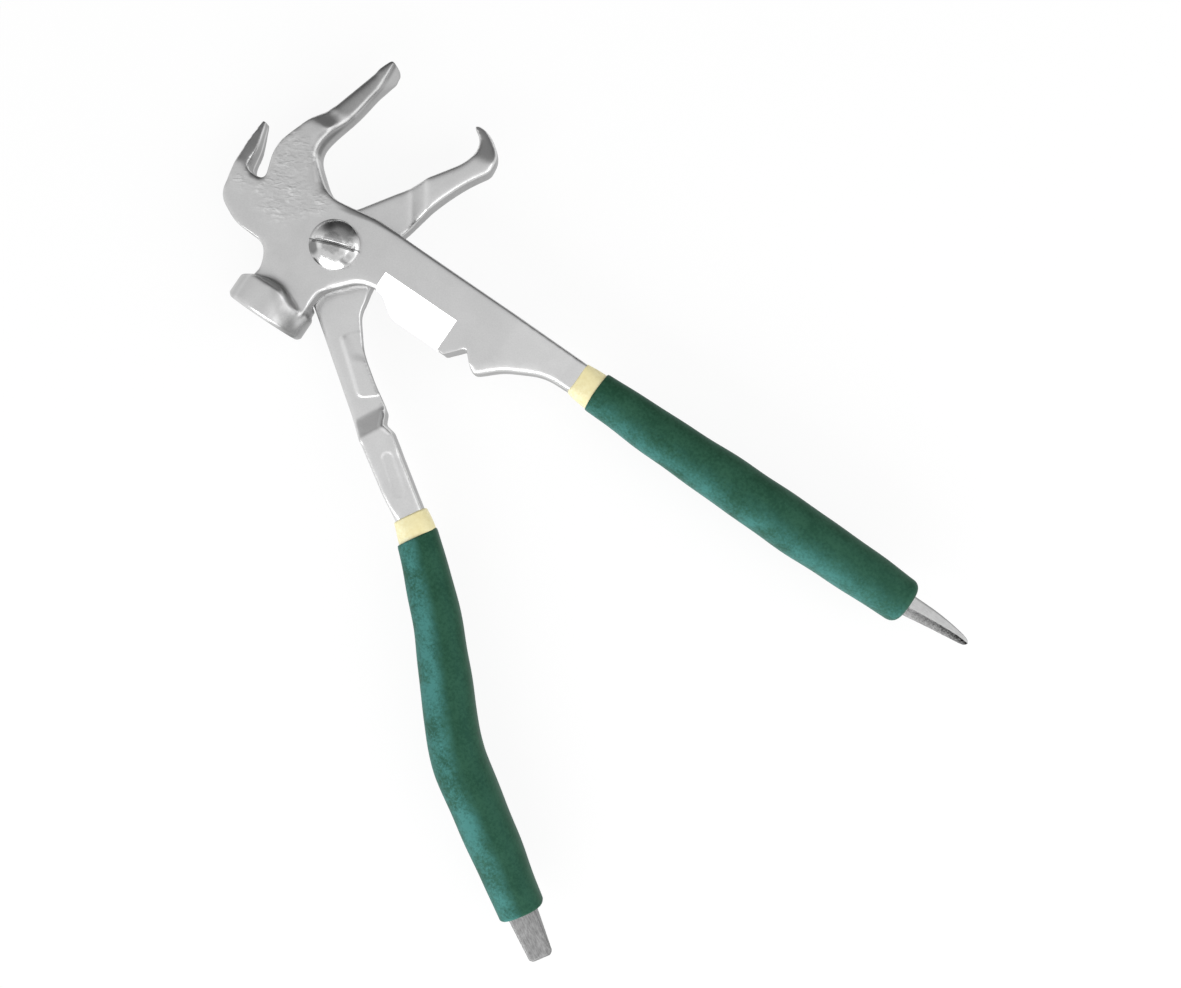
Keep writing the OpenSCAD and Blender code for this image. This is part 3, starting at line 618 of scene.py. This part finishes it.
# Painted highlights and painted shade on its face: amount, plan line, inner and outer distance
HAMMER_PAINTED_SHADING = [
    (-0.12, (-24.6, 35, -24, 36.7, -21.3, 45, -19.8, 51.2, -18.1, 54.4), 0.5, 2.6),  # jaw's outer edge
    (-0.30, (-32, 3.2, -30, 3.6, -29.6, 4.6), 0.2, 1.2),  # root of the claw slot
    (-0.16, (-39.4, 19.2, -38.6, 17.5), 0.5, 3),  # claw's tip
    (0.18, (-15.2, 13.2, -17.1, 15.2, -18.8, 17.7), 0.2, 1.3),  # bright line along the mouth
    (-0.20, (-20.7, 20.2, -21.1, 23.9, -20.3, 27.0, -19.0, 30.3, -17.9, 33.9), 0.5, 1.7),  # band beside it
    (-0.10, (-4.4, -21.0, -0.4, -24.8, 2.5, -28.1), 0.8, 3.0),  # barrel's right end
    (-0.10, (0.4, -25.6, 2.5, -28.1), 0.6, 3.0),  # and its corner
]


def hammer_lever():
    c = CUTTER
    fill = prism(
        [(c["start"], 2.4), (c["start"], -3.6), (18.3, -3.8), (19.4, -4.4), (23.9, -8.1), (25.2, -8.58),
         (c["end"] + 0.6, -c["edge"]), (c["end"] + 0.6, 2.4)],
        LAP_Z + 0.1, FRONT_Z
    )
    obj = fine_copy("hammer_lever_skin", "hammer_lever", LEVER_VOXEL, [fill])
    points = points_of(obj.data)
    rounds = rounding(points, HAMMER_ROUNDS, HAMMER_PLACES)
    rounds += smooth_step((points[:, 0] - TANG_FROM) / 4) * (TANG_ROUNDS - rounds)
    points = relax(obj.data, rounds)

    # The barrel swells towards the lever, and the handle runs on under the collar
    bulge = near(points, (-11, -21.5, -8, -21.5), 3, 9) * smooth_step((points[:, 2] - 19.8) / 4)
    points[:, 1] += 1.9 * bulge * smooth_step((points[:, 1] + 27) / 4)
    points[:, 0] += 2.2 * smooth_step((points[:, 0] - 76.5) / 4) * smooth_step((93 - points[:, 0]) / 10)
    set_points(obj.data, points)

    normals = normals_of(obj.data)
    front = smooth_step((points[:, 2] - 14) / 2) * (normals[:, 2] > 0)
    painted_shading = np.zeros(len(points))
    for amount, line, inner, outer in HAMMER_PAINTED_SHADING:
        painted_shading += amount * front * near(points, line, inner, outer)
    # Painted shade beside the barrel, along the handle's upper edge and at the barrel's left end; the jaw's
    # face is darker too.
    jaw_face = near(points, (-21.5, 37, -18.8, 47, -17.5, 52), 2.5, 5.0)
    painted_shading -= 0.26 * front * jaw_face * smooth_step((points[:, 1] - 31.5) / 2)
    barrel = near(points, (1, -29, 1, -21), 2.5, 5)
    painted_shading -= 0.15 * front * barrel * smooth_step((-20.5 - points[:, 1]) / 2)
    upper = 0.16 * near(points, UPPER_EDGE, 0.3, 1.1) + 0.14 * near(points, UPPER_EDGE[:6], 0.5, 1.3)
    painted_shading -= front * upper * smooth_step((points[:, 0] + 7) / 5)
    painted_shading -= 0.12 * near(points, (-16.7, -29.0, -17.0, -26.0, -16.8, -22.0), 0.8, 2.4)

    # Two painted highlights: bright lines on the prong's side that faces the jaws
    side = (normals[:, 0] > 0.45) * near(points, (-37.8, 18, -36.8, 14, -35.3, 9.5, -34.4, 5.5), 1.1, 1.9)
    for level, half in (
        (13.3 - 0.195 * (points[:, 1] - 6.3), 0.5),
        (18.9 - 0.4 * (points[:, 1] - 4.7), 0.6),
    ):
        painted_shading += 0.30 * side * np.exp(-((points[:, 2] - level) / half) ** 2)
    store_painted_shading(obj, painted_shading)

    obj.data.materials.append(hammer_steel)
    drop = (FRONT_Z - LAP_Z - c["land"]) / (c["edge"] + c["back"])
    profile = [
        (c["back"] + 2, FRONT_Z + 2 * drop),
        (-c["edge"] - 3, LAP_Z + c["land"] - 3 * drop),
        (-c["edge"] - 3, 24),
    ]
    wedge = [(x * MM, y * MM, z * MM) for x in (c["start"], c["end"]) for y, z in profile]
    cut(obj, wedge, [(0, 1, 2), (5, 4, 3), (0, 3, 4, 1), (1, 4, 5, 2), (2, 5, 3, 0)], cutter_steel)
    cut(obj, *prism([(PICK_CUT, -5), (230, -5), (230, 20), (PICK_CUT, 20)], 0, 26))
    add_pick(obj)
    shade(obj, 26)
    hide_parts("hammer_lever")
    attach(obj, "hammer_side")


# The jaw lever's right edge, beside the anvil pad
JAW_EDGE = (13, -0.5, 17, -3.2, 22, -6.4, 29.5, -8.9, 40, -10.6, 46, -12)
# The jaw lever's own places, and its painted highlights and painted shade, in the same order of values
JAW_PLACES = [
    ((-13.5, 53.5, -13, 54), 2, 5, 8),  # hook's tip
    ((47, -13, 58, -13), 3, 6, 22),  # step
    ((23, -11.5, 24, -9.6, 28, -9.6), 0.8, 2.2, 50),  # pad's top
    (JAW_EDGE, 1.6, 3, 6),
    ((22.8, -11.9, 41.5, -16), 1.0, 2.0, 10),  # pad's left side
    ((42.5, -15, 44.3, -9), 1.0, 2.0, 2),  # pad's end
    ((50.3, -20, 50.3, -14), 3.4, 5, 16),  # left end of the step
]
JAW_PAINTED_SHADING = [
    (0.08, (23.4, -12.3, 31.9, -13.9, 41.3, -15.8), 0.3, 0.9),  # bright line left of the pad
    (-0.05, (23.1, -11.3, 23.4, -8.8, 24.2, -6.4), 0.15, 0.7),  # dark line along the pad's top
]
# Height of the face that the pad stands on, and of the lever's middle
LAP_FACE_Z = 12.9
JAW_MIDDLE_Z = 13
# Direction of the handle in front of the collar, and a point on its line
COLLAR_AHEAD = np.array([13.0, -1.3]) / 13.065
COLLAR_FROM = [70.0, -17.9]
# Distance along the handle's path from which on the steel is ground
BLADE_FROM = 133.0


def jaw_lever():
    obj = fine_copy("jaw_lever_skin", "jaw_lever", LEVER_VOXEL)
    points = points_of(obj.data)
    closed = turned(points, OPEN_ANGLE)
    rounds = rounding(closed, JAW_ROUNDS, JAW_PLACES)
    rounds += smooth_step((closed[:, 0] - TANG_FROM) / 4) * (TANG_ROUNDS - rounds)
    points = relax(obj.data, rounds)
    closed = turned(points, OPEN_ANGLE)

    # The wall along the right edge leans out, more below the pad than beside it
    lean = near(closed, JAW_EDGE, 1, 3.5) * smooth_step((points[:, 2] - 8) / 4.5) * (points[:, 2] > 7)
    lean *= 1 - 0.7 * smooth_step((points[:, 2] - 12.95) / 0.5)
    points[:, :2] += 0.6 * lean[:, None] * turned([[0.25, 0.97]], -OPEN_ANGLE)

    # The bare stamp is a shallow hollow
    stamp = near(closed, (62.0, -16.4, 72.6, -18.1), 1.0, 2.2) * smooth_step((points[:, 2] - 16.2) / 0.6)
    points[:, 2] -= 0.3 * stamp * (1 - 0.5 * smooth_step((closed[:, 0] - 69) / 4))

    # The anvil pad is lower than its solid, and fades where the cutting edge comes close
    level = 0.45 + 0.55 * smooth_step((closed[:, 0] - 44.9) / 1.4)
    level *= 1 - near(closed, (22.5, -8.2, 29, -8.8), 1.0, 4.5)
    pad = (closed[:, 0] > 20.5) & (closed[:, 0] < 46.3) & (points[:, 2] > LAP_FACE_Z) & (points[:, 2] < 14.2)
    points[:, 2] -= pad * (1 - level) * (points[:, 2] - LAP_FACE_Z)

    # A bevel falls away to the left in front of the collar
    past = (closed[:, :2] - [75.0, -23.1]) @ [0.431, -0.902]
    past = 0.5 * (past + np.sqrt(past ** 2 + 0.2))
    past *= smooth_step((closed[:, 0] - 71) / 4) * (closed[:, 0] < 90)
    points[:, 2] -= 0.65 * past * np.clip((points[:, 2] - JAW_MIDDLE_Z) / 4, 0, 1)

    # The handle runs on under the collar
    reach = (closed[:, :2] - COLLAR_FROM) @ COLLAR_AHEAD
    shift = 2.6 * smooth_step((reach - 6) / 4) * smooth_step((23 - reach) / 10)
    points[:, :2] += shift[:, None] * turned([COLLAR_AHEAD], -OPEN_ANGLE)
    set_points(obj.data, points)

    normals = normals_of(obj.data)
    up = normals[:, 2]
    raised = points[:, 2] > 10
    front = (up > 0.5) * (points[:, 2] > 12)
    painted_shading = np.zeros(len(points))
    for amount, line, inner, outer in JAW_PAINTED_SHADING:
        painted_shading += amount * front * near(closed, line, inner, outer)
    # Painted shade below the pad and on the right edge's wall, and painted highlights along the step and on
    # its slope
    below_pad = near(closed, (46.5, -10.6, 52.5, -12.6), 0.4, 2.2)
    painted_shading -= 0.10 * front * below_pad * (closed[:, 0] > 46)
    wall = near(closed, JAW_EDGE[6:], 1.0, 2.0) * smooth_step((0.75 - up) / 0.3)
    painted_shading -= 0.16 * wall * (points[:, 2] > 8)
    step_line = near(closed, (47.5, -10.9, 49.9, -12.4, 52.5, -13.8, 55.5, -12.5), 0.4, 1.1)
    painted_shading += 0.20 * step_line * raised * (up > 0)
    slope = smooth_step((up - 0.5) / 0.1) * smooth_step((0.94 - up) / 0.04)
    step = smooth_step(closed[:, 0] - 45.5) * smooth_step(53 - closed[:, 0])
    painted_shading += 0.09 * slope * raised * step
    store_painted_shading(obj, painted_shading)

    obj.data.materials.append(jaw_steel)
    blade_from, ahead, _ = jaw_path.frame(BLADE_FROM)
    end_material(obj, blade_steel, lambda centres: (centres[:, :2] - blade_from) @ ahead > 0)
    shade(obj, 40)
    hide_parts("jaw_lever")
    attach(obj, "jaw_side")


# Pivot

# The head's dome: the height of its centre, and its radius
DOME_Z = 13.6
DOME_R = 10.1
# The worn slot's depth below the dome, across the slot
SLOT_DEPTHS = ([-0.9, -0.5, -0.34, -0.06, 0.42, 0.9], [0.0, 0.12, 0.6, 0.6, 0.04, 0.0])


def fastener(node, voxel, rounds, material):
    """A finer, slightly rounded copy of a fastener, and its points."""
    obj = fine_copy(node + "_skin", node, voxel)
    points = relax(obj.data, np.full(len(obj.data.vertices), rounds))
    obj.data.materials.append(material)
    return obj, points


def pivot():
    screw, points = fastener("pivot_screw", 0.14, 5.0, bright_steel)
    out = np.hypot(points[:, 0], points[:, 1])
    across = turned(points, -SLOT_TURN)[:, 1]
    dome = DOME_Z + np.sqrt(np.maximum(DOME_R ** 2 - out ** 2, 0)) - 0.06
    wear_and_highlight = dome - np.interp(across, *SLOT_DEPTHS)
    inside = (np.abs(across) < SLOT_HALF + 0.12) & (points[:, 2] < wear_and_highlight) & (points[:, 2] > 20.9) & (out < 6.3)
    points[inside, 2] = wear_and_highlight[inside]
    set_points(screw.data, points)
    washer, _ = fastener("pivot_washer", 0.18, 4.0, nut_steel)
    nut, _ = fastener("pivot_nut", 0.2, 4.0, nut_steel)
    for obj, node in ((screw, "pivot_screw"), (washer, "pivot_washer"), (nut, "pivot_nut")):
        shade(obj, 40)
        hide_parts(node)
        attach(obj, "hammer_side")


# Grips

GRIP_Z = 13.0
# Half width and half thickness of the tangs inside the grips
TANG_HALF = (4.2, 3.5)
COLLAR_LEN = 7.0
# Points around a grip, the power that makes its section a rounded square, and the height of its skin's waves
SIDES = 96
SQUARENESS = 2.6
SWELL = 0.06
# Walls of the under-layer at its lip and beyond its collar, and of the sleeve at its front and its belly
LINER_LIP, LINER_WALL = 0.9, 1.7
FRONT_WALL, BELLY_WALL = 0.4, 2.2
# Share of the sleeve's length at which it is thickest
BELLY_AT = 0.6


def route(corners, step=1.5):
    """Path through corners given as (x, y, radius), its bends as arcs of about step degrees a point."""
    corners = np.array(corners, float)
    out = [corners[0, :2]]
    for a, p, b in zip(corners, corners[1:], corners[2:]):
        u = (a[:2] - p[:2]) / np.linalg.norm(a[:2] - p[:2])
        v = (b[:2] - p[:2]) / np.linalg.norm(b[:2] - p[:2])
        half = math.acos(np.clip(u @ v, -1, 1)) / 2
        start = p[:2] + u * p[2] / math.tan(half)
        side = 1 if u[0] * v[1] - u[1] * v[0] > 0 else -1
        centre = start + side * p[2] * np.array([-u[1], u[0]])
        arc = math.pi - 2 * half
        first = math.atan2(start[1] - centre[1], start[0] - centre[0])
        count = max(2, math.ceil(math.degrees(arc) / step))
        for i in range(count + 1):
            angle = first - side * arc * i / count
            out.append(centre + p[2] * np.array([math.cos(angle), math.sin(angle)]))
    out.append(corners[-1, :2])
    return np.array(out)


class Path:
    """A plan path that is asked for places by their distance along it."""

    def __init__(self, points):
        self.points = points
        steps = np.linalg.norm(np.diff(points, axis=0), axis=1)
        self.lengths = np.concatenate([[0], np.cumsum(steps)])

    def at(self, d):
        return np.stack([np.interp(d, self.lengths, self.points[:, k]) for k in range(2)], -1)

    def frame(self, d):
        """The place at distance d, the direction of the path there, and the direction to its left."""
        here = self.at(d)
        step = self.at(d + 2) - self.at(d - 2)
        step /= np.linalg.norm(step, axis=-1, keepdims=True)
        return here, step, np.stack([-step[..., 1], step[..., 0]], -1)


def sweep(name, path, rows, material, waver, skew, squarer, seed, highlight_scale=(1.0, 0.0)):
    """A closed skin through rows of (distance, half width, half height), squarer where it starts.

    Its front lip wavers and is skewed by so many millimetres. Its last argument says how the share of painted
    highlight runs across it: its slope towards the right side, and its level in the middle."""
    angles = np.arange(SIDES) * 2 * math.pi / SIDES
    rng = np.random.default_rng(seed)
    phases = rng.uniform(0, 2 * math.pi, 12)
    points = []
    for d, w, h in rows:
        lip = sum(np.sin(k * angles + phases[k]) / k for k in range(1, 5))
        from_lip = d - rows[0][0]
        bend = 2 / (SQUARENESS + squarer * math.exp(-from_lip / 2.5))
        across = np.sign(np.cos(angles)) * np.abs(np.cos(angles)) ** bend
        up = np.sign(np.sin(angles)) * np.abs(np.sin(angles)) ** bend
        distance = d + waver * lip * math.exp(-max(0.0, from_lip) / 2)
        distance = distance - skew * across * math.exp(-from_lip / 12)
        swell = SWELL * sum(
            np.sin(distance / length + k * angles + phases[4 + i])
            for i, (length, k) in enumerate(((7.5, 1), (4.1, 2), (11.0, 0), (2.9, 1)))
        )
        swell = swell * min(1.0, min(w, h) / 3)
        here, _, side = path.frame(distance)
        ring = here + side * (across * (w + swell))[:, None]
        points.append(np.column_stack([ring, GRIP_Z + up * (h + swell)]))
    count = len(rows)
    ends = [points[0].mean(0), points[-1].mean(0)]
    verts = np.vstack(points + [np.array(ends)]) * MM
    faces = []
    for i in range(count - 1):
        for j in range(SIDES):
            k = (j + 1) % SIDES
            faces.append((i * SIDES + j, i * SIDES + k, (i + 1) * SIDES + k, (i + 1) * SIDES + j))
    last = (count - 1) * SIDES
    for j in range(SIDES):
        k = (j + 1) % SIDES
        faces.append((count * SIDES, k, j))
        faces.append((count * SIDES + 1, last + j, last + k))
    obj = add_object(name, mesh_of(name, verts, faces))
    work = bmesh.new()
    work.from_mesh(obj.data)
    bmesh.ops.recalc_face_normals(work, faces=work.faces)
    work.to_mesh(obj.data)
    work.free()
    # Share of the painted highlight at each point of the skin
    slope, middle = highlight_scale
    wear_and_highlight = obj.data.attributes.new("wear_and_highlight", "FLOAT", "POINT")
    wear_and_highlight.data.foreach_set("value", np.concatenate([np.tile(middle - slope * across, count), [0.0, 0.0]]))
    obj.data.materials.append(material)
    shade(obj, 60)
    return obj


def liner_wall(d):
    """Wall of the under-layer at distance d from its lip."""
    rise = math.sin(math.pi / 2 * min(1, max(0, d) / COLLAR_LEN))
    return LINER_LIP + (LINER_WALL - LINER_LIP) * rise


def sleeve_wall(t, wall_end):
    """Wall of the sleeve at the share t of its length."""
    if t < BELLY_AT:
        return FRONT_WALL + (BELLY_WALL - FRONT_WALL) * math.sin(math.pi / 2 * t / BELLY_AT)
    fall = math.cos(math.pi / 2 * (t - BELLY_AT) / (1 - BELLY_AT))
    return wall_end + (BELLY_WALL - wall_end) * fall


def grip(name, body, path, start, length, wall_end, end_r, skew, seed, highlight_scale):
    """A grip from the distance start on: the collar of its under-layer, and a sleeve of the given length."""
    half_w, half_h = TANG_HALF

    lip, lip_wall = 0.6, 0.12
    collar = []
    for i in range(7):
        t = math.pi / 2 * i / 6
        wall = lip_wall + (liner_wall(lip) - lip_wall) * math.sin(t)
        collar.append((start + lip * (1 - math.cos(t)), half_w + wall, half_h + wall))
    for d in np.arange(1.0, COLLAR_LEN + 6.01, 0.5):
        collar.append((start + d, half_w + liner_wall(d), half_h + liner_wall(d)))
    collar_obj = sweep(
        name + "_grip_collar", path, collar, cream_plastic,
        waver=0.12, skew=0.3 * skew, squarer=3.0, seed=seed
    )
    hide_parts(name + "_grip_liner")
    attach(collar_obj, body)

    front = start + COLLAR_LEN
    rows = []
    for i in range(6):
        t = math.pi / 2 * i / 5
        wall = LINER_WALL - 0.04 + FRONT_WALL * math.sin(t)
        rows.append((front + FRONT_WALL * (1 - math.cos(t)), half_w + wall, half_h + wall))
    for d in np.arange(1.0, length - end_r, 1.0):
        wall = LINER_WALL + sleeve_wall(d / length, wall_end)
        rows.append((front + d, half_w + wall, half_h + wall))
    for i in range(9):
        t = math.pi / 2 * i / 8
        d = length - end_r * (1 - math.sin(t))
        wall = LINER_WALL + sleeve_wall(d / length, wall_end) - end_r * (1 - math.cos(t))
        rows.append((front + d, half_w + wall, half_h + wall))
    last_w, last_h = rows[-1][1:]
    for share in (0.93, 0.86, 0.7, 0.4):
        rows.append((front + length - 0.25 * (1 - share), last_w * share, last_h * share))
    sleeve = sweep(
        name + "_grip_skin", path, rows, green_plastic,
        waver=0.16, skew=skew, squarer=0.0, seed=seed + 1, highlight_scale=highlight_scale
    )
    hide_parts(name + "_grip_sleeve")
    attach(sleeve, body)


HANDLE_AXIS = 8.15
PATH_START = 60.0
GRIP_START = 80.5

hammer_path = Path(np.array([[PATH_START, HANDLE_AXIS], [260.0, HANDLE_AXIS]]))
jaw_path = Path(turned(route([
    (70, -17.9, 0), (83, -19.2, 60), (112, -26.6, 120), (148.5, -40.5, 45), (230, -48.4, 0)
]), -OPEN_ANGLE))

hammer_lever()
jaw_lever()
pivot()
grip(
    "hammer", "hammer_side", hammer_path, start=GRIP_START - PATH_START, length=112.5,
    wall_end=1.3, end_r=2.4, skew=0.0, seed=3, highlight_scale=(0.42, -0.03)
)
grip(
    "jaw", "jaw_side", jaw_path, start=10.0, length=117.0,
    wall_end=1.15, end_r=0.8, skew=1.25, seed=8, highlight_scale=(1.0, 0.10)
)


# Studio: a pale floor and sky, a soft key lamp towards -Y, a weaker one towards +X, and a dark surround for
# the metal's reflections

def studio_material(name):
    """An empty material and its node tree."""
    material = bpy.data.materials.new(name)
    material.use_nodes = True
    material.node_tree.nodes.clear()
    return material, material.node_tree


def background_rays(tree):
    """1 for the rays that should see plain white: those of the camera, of gloss and of transmission."""
    rays = tree.nodes.new("ShaderNodeLightPath")
    total = rays.outputs["Is Camera Ray"]
    for output in ("Is Glossy Ray", "Is Transmission Ray"):
        add = tree.nodes.new("ShaderNodeMath")
        add.operation = "MAXIMUM"
        tree.links.new(total, add.inputs[0])
        tree.links.new(rays.outputs[output], add.inputs[1])
        total = add.outputs[0]
    return total


FLOOR_HALF = 4.0
FLOOR_Z = -0.0001


def floor():
    """A pale floor that takes the tool's shadow and otherwise looks white."""
    material, tree = studio_material("floor")
    white = tree.nodes.new("ShaderNodeEmission")
    lit = tree.nodes.new("ShaderNodeBsdfDiffuse")
    lit.inputs["Color"].default_value = (0.96, 0.96, 0.96, 1)
    share = tree.nodes.new("ShaderNodeMath")
    share.operation = "MULTIPLY"
    share.inputs[1].default_value = 0.88
    tree.links.new(background_rays(tree), share.inputs[0])
    mix = tree.nodes.new("ShaderNodeMixShader")
    tree.links.new(share.outputs[0], mix.inputs[0])
    tree.links.new(lit.outputs[0], mix.inputs[1])
    tree.links.new(white.outputs[0], mix.inputs[2])
    output = tree.nodes.new("ShaderNodeOutputMaterial")
    tree.links.new(mix.outputs[0], output.inputs["Surface"])
    corners = [(x * FLOOR_HALF, y * FLOOR_HALF, FLOOR_Z) for x, y in ((-1, -1), (1, -1), (1, 1), (-1, 1))]
    obj = add_object("floor", mesh_of("floor", corners, [(0, 1, 2, 3)]))
    obj.data.materials.append(material)


def surround():
    """A dark gradient wall behind and beside the tool, which only reflections and soft light see."""
    material, tree = studio_material("surround")
    tone = tree.nodes.new("ShaderNodeAttribute")
    tone.attribute_name = "tone"
    glow = tree.nodes.new("ShaderNodeEmission")
    tree.links.new(tone.outputs["Fac"], glow.inputs["Strength"])
    output = tree.nodes.new("ShaderNodeOutputMaterial")
    tree.links.new(glow.outputs[0], output.inputs["Surface"])
    # Heights of its rows in degrees, and their tones behind the tool and beside it
    rises = (0, 8, 16, 24, 32, 38, 44, 50, 55, 60, 65, 69, 73)
    back = (0.04, 0.06, 0.08, 0.12, 0.20, 0.26, 0.29, 0.33, 0.40, 0.50, 0.66, 0.84, 1.0)
    beside = (0.80, 0.86, 0.92, 0.97, 1.0, 1.0, 1.0, 1.0, 1.0, 1.0, 1.0, 1.0, 1.0)
    radius = 1.1
    azimuths = np.radians(np.linspace(-35, 215, 51))
    points, tones = [], []
    for rise, dark, side in zip(rises, back, beside):
        for a in azimuths:
            turn = math.degrees(a)
            share = float(smooth_step((turn - 52) / 28) * smooth_step((196 - turn) / 54))
            points.append((radius * math.cos(a), radius * math.sin(a), radius * math.tan(math.radians(rise))))
            tones.append(dark * share + side * (1 - share))
    n = len(azimuths)
    faces = [
        (i * n + j, i * n + j + 1, (i + 1) * n + j + 1, (i + 1) * n + j)
        for i in range(len(rises) - 1) for j in range(n - 1)
    ]
    obj = add_object("surround", mesh_of("surround", points, faces))
    layer = obj.data.attributes.new("tone", "FLOAT", "POINT")
    layer.data.foreach_set("value", tones)
    obj.data.materials.append(material)
    obj.visible_camera = False
    obj.visible_shadow = False


LAMPS_AIM = Vector((0.06, -0.02, 0))


def lamp(name, azimuth, rise, distance, size, radiance):
    """A soft lamp that faces the tool and that the camera doesn't see."""
    data = bpy.data.lights.new(name, "AREA")
    data.shape = "RECTANGLE"
    data.size, data.size_y = size
    data.energy = radiance * math.pi * size[0] * size[1]
    obj = bpy.data.objects.new(name, data)
    scene.collection.objects.link(obj)
    a, e = math.radians(azimuth), math.radians(rise)
    place = Vector((math.cos(a) * math.cos(e), math.sin(a) * math.cos(e), math.sin(e))) * distance
    obj.location = place + LAMPS_AIM
    obj.rotation_euler = (-place).to_track_quat("-Z", "Y").to_euler()
    obj.visible_camera = False


def sky():
    """A plain pale sky, white where the camera sees it."""
    world = bpy.data.worlds.new("sky")
    scene.world = world
    world.use_nodes = True
    tree = world.node_tree
    tree.nodes.clear()
    white = tree.nodes.new("ShaderNodeBackground")
    soft = tree.nodes.new("ShaderNodeBackground")
    soft.inputs["Strength"].default_value = 0.66
    mix = tree.nodes.new("ShaderNodeMixShader")
    tree.links.new(background_rays(tree), mix.inputs[0])
    tree.links.new(soft.outputs[0], mix.inputs[1])
    tree.links.new(white.outputs[0], mix.inputs[2])
    output = tree.nodes.new("ShaderNodeOutputWorld")
    tree.links.new(mix.outputs[0], output.inputs["Surface"])


floor()
surround()
lamp("key_lamp", azimuth=-80, rise=28, distance=1.0, size=(1.35, 0.48), radiance=3.8)
lamp("side_lamp", azimuth=16, rise=38, distance=1.0, size=(1.2, 0.75), radiance=1.2)
sky()
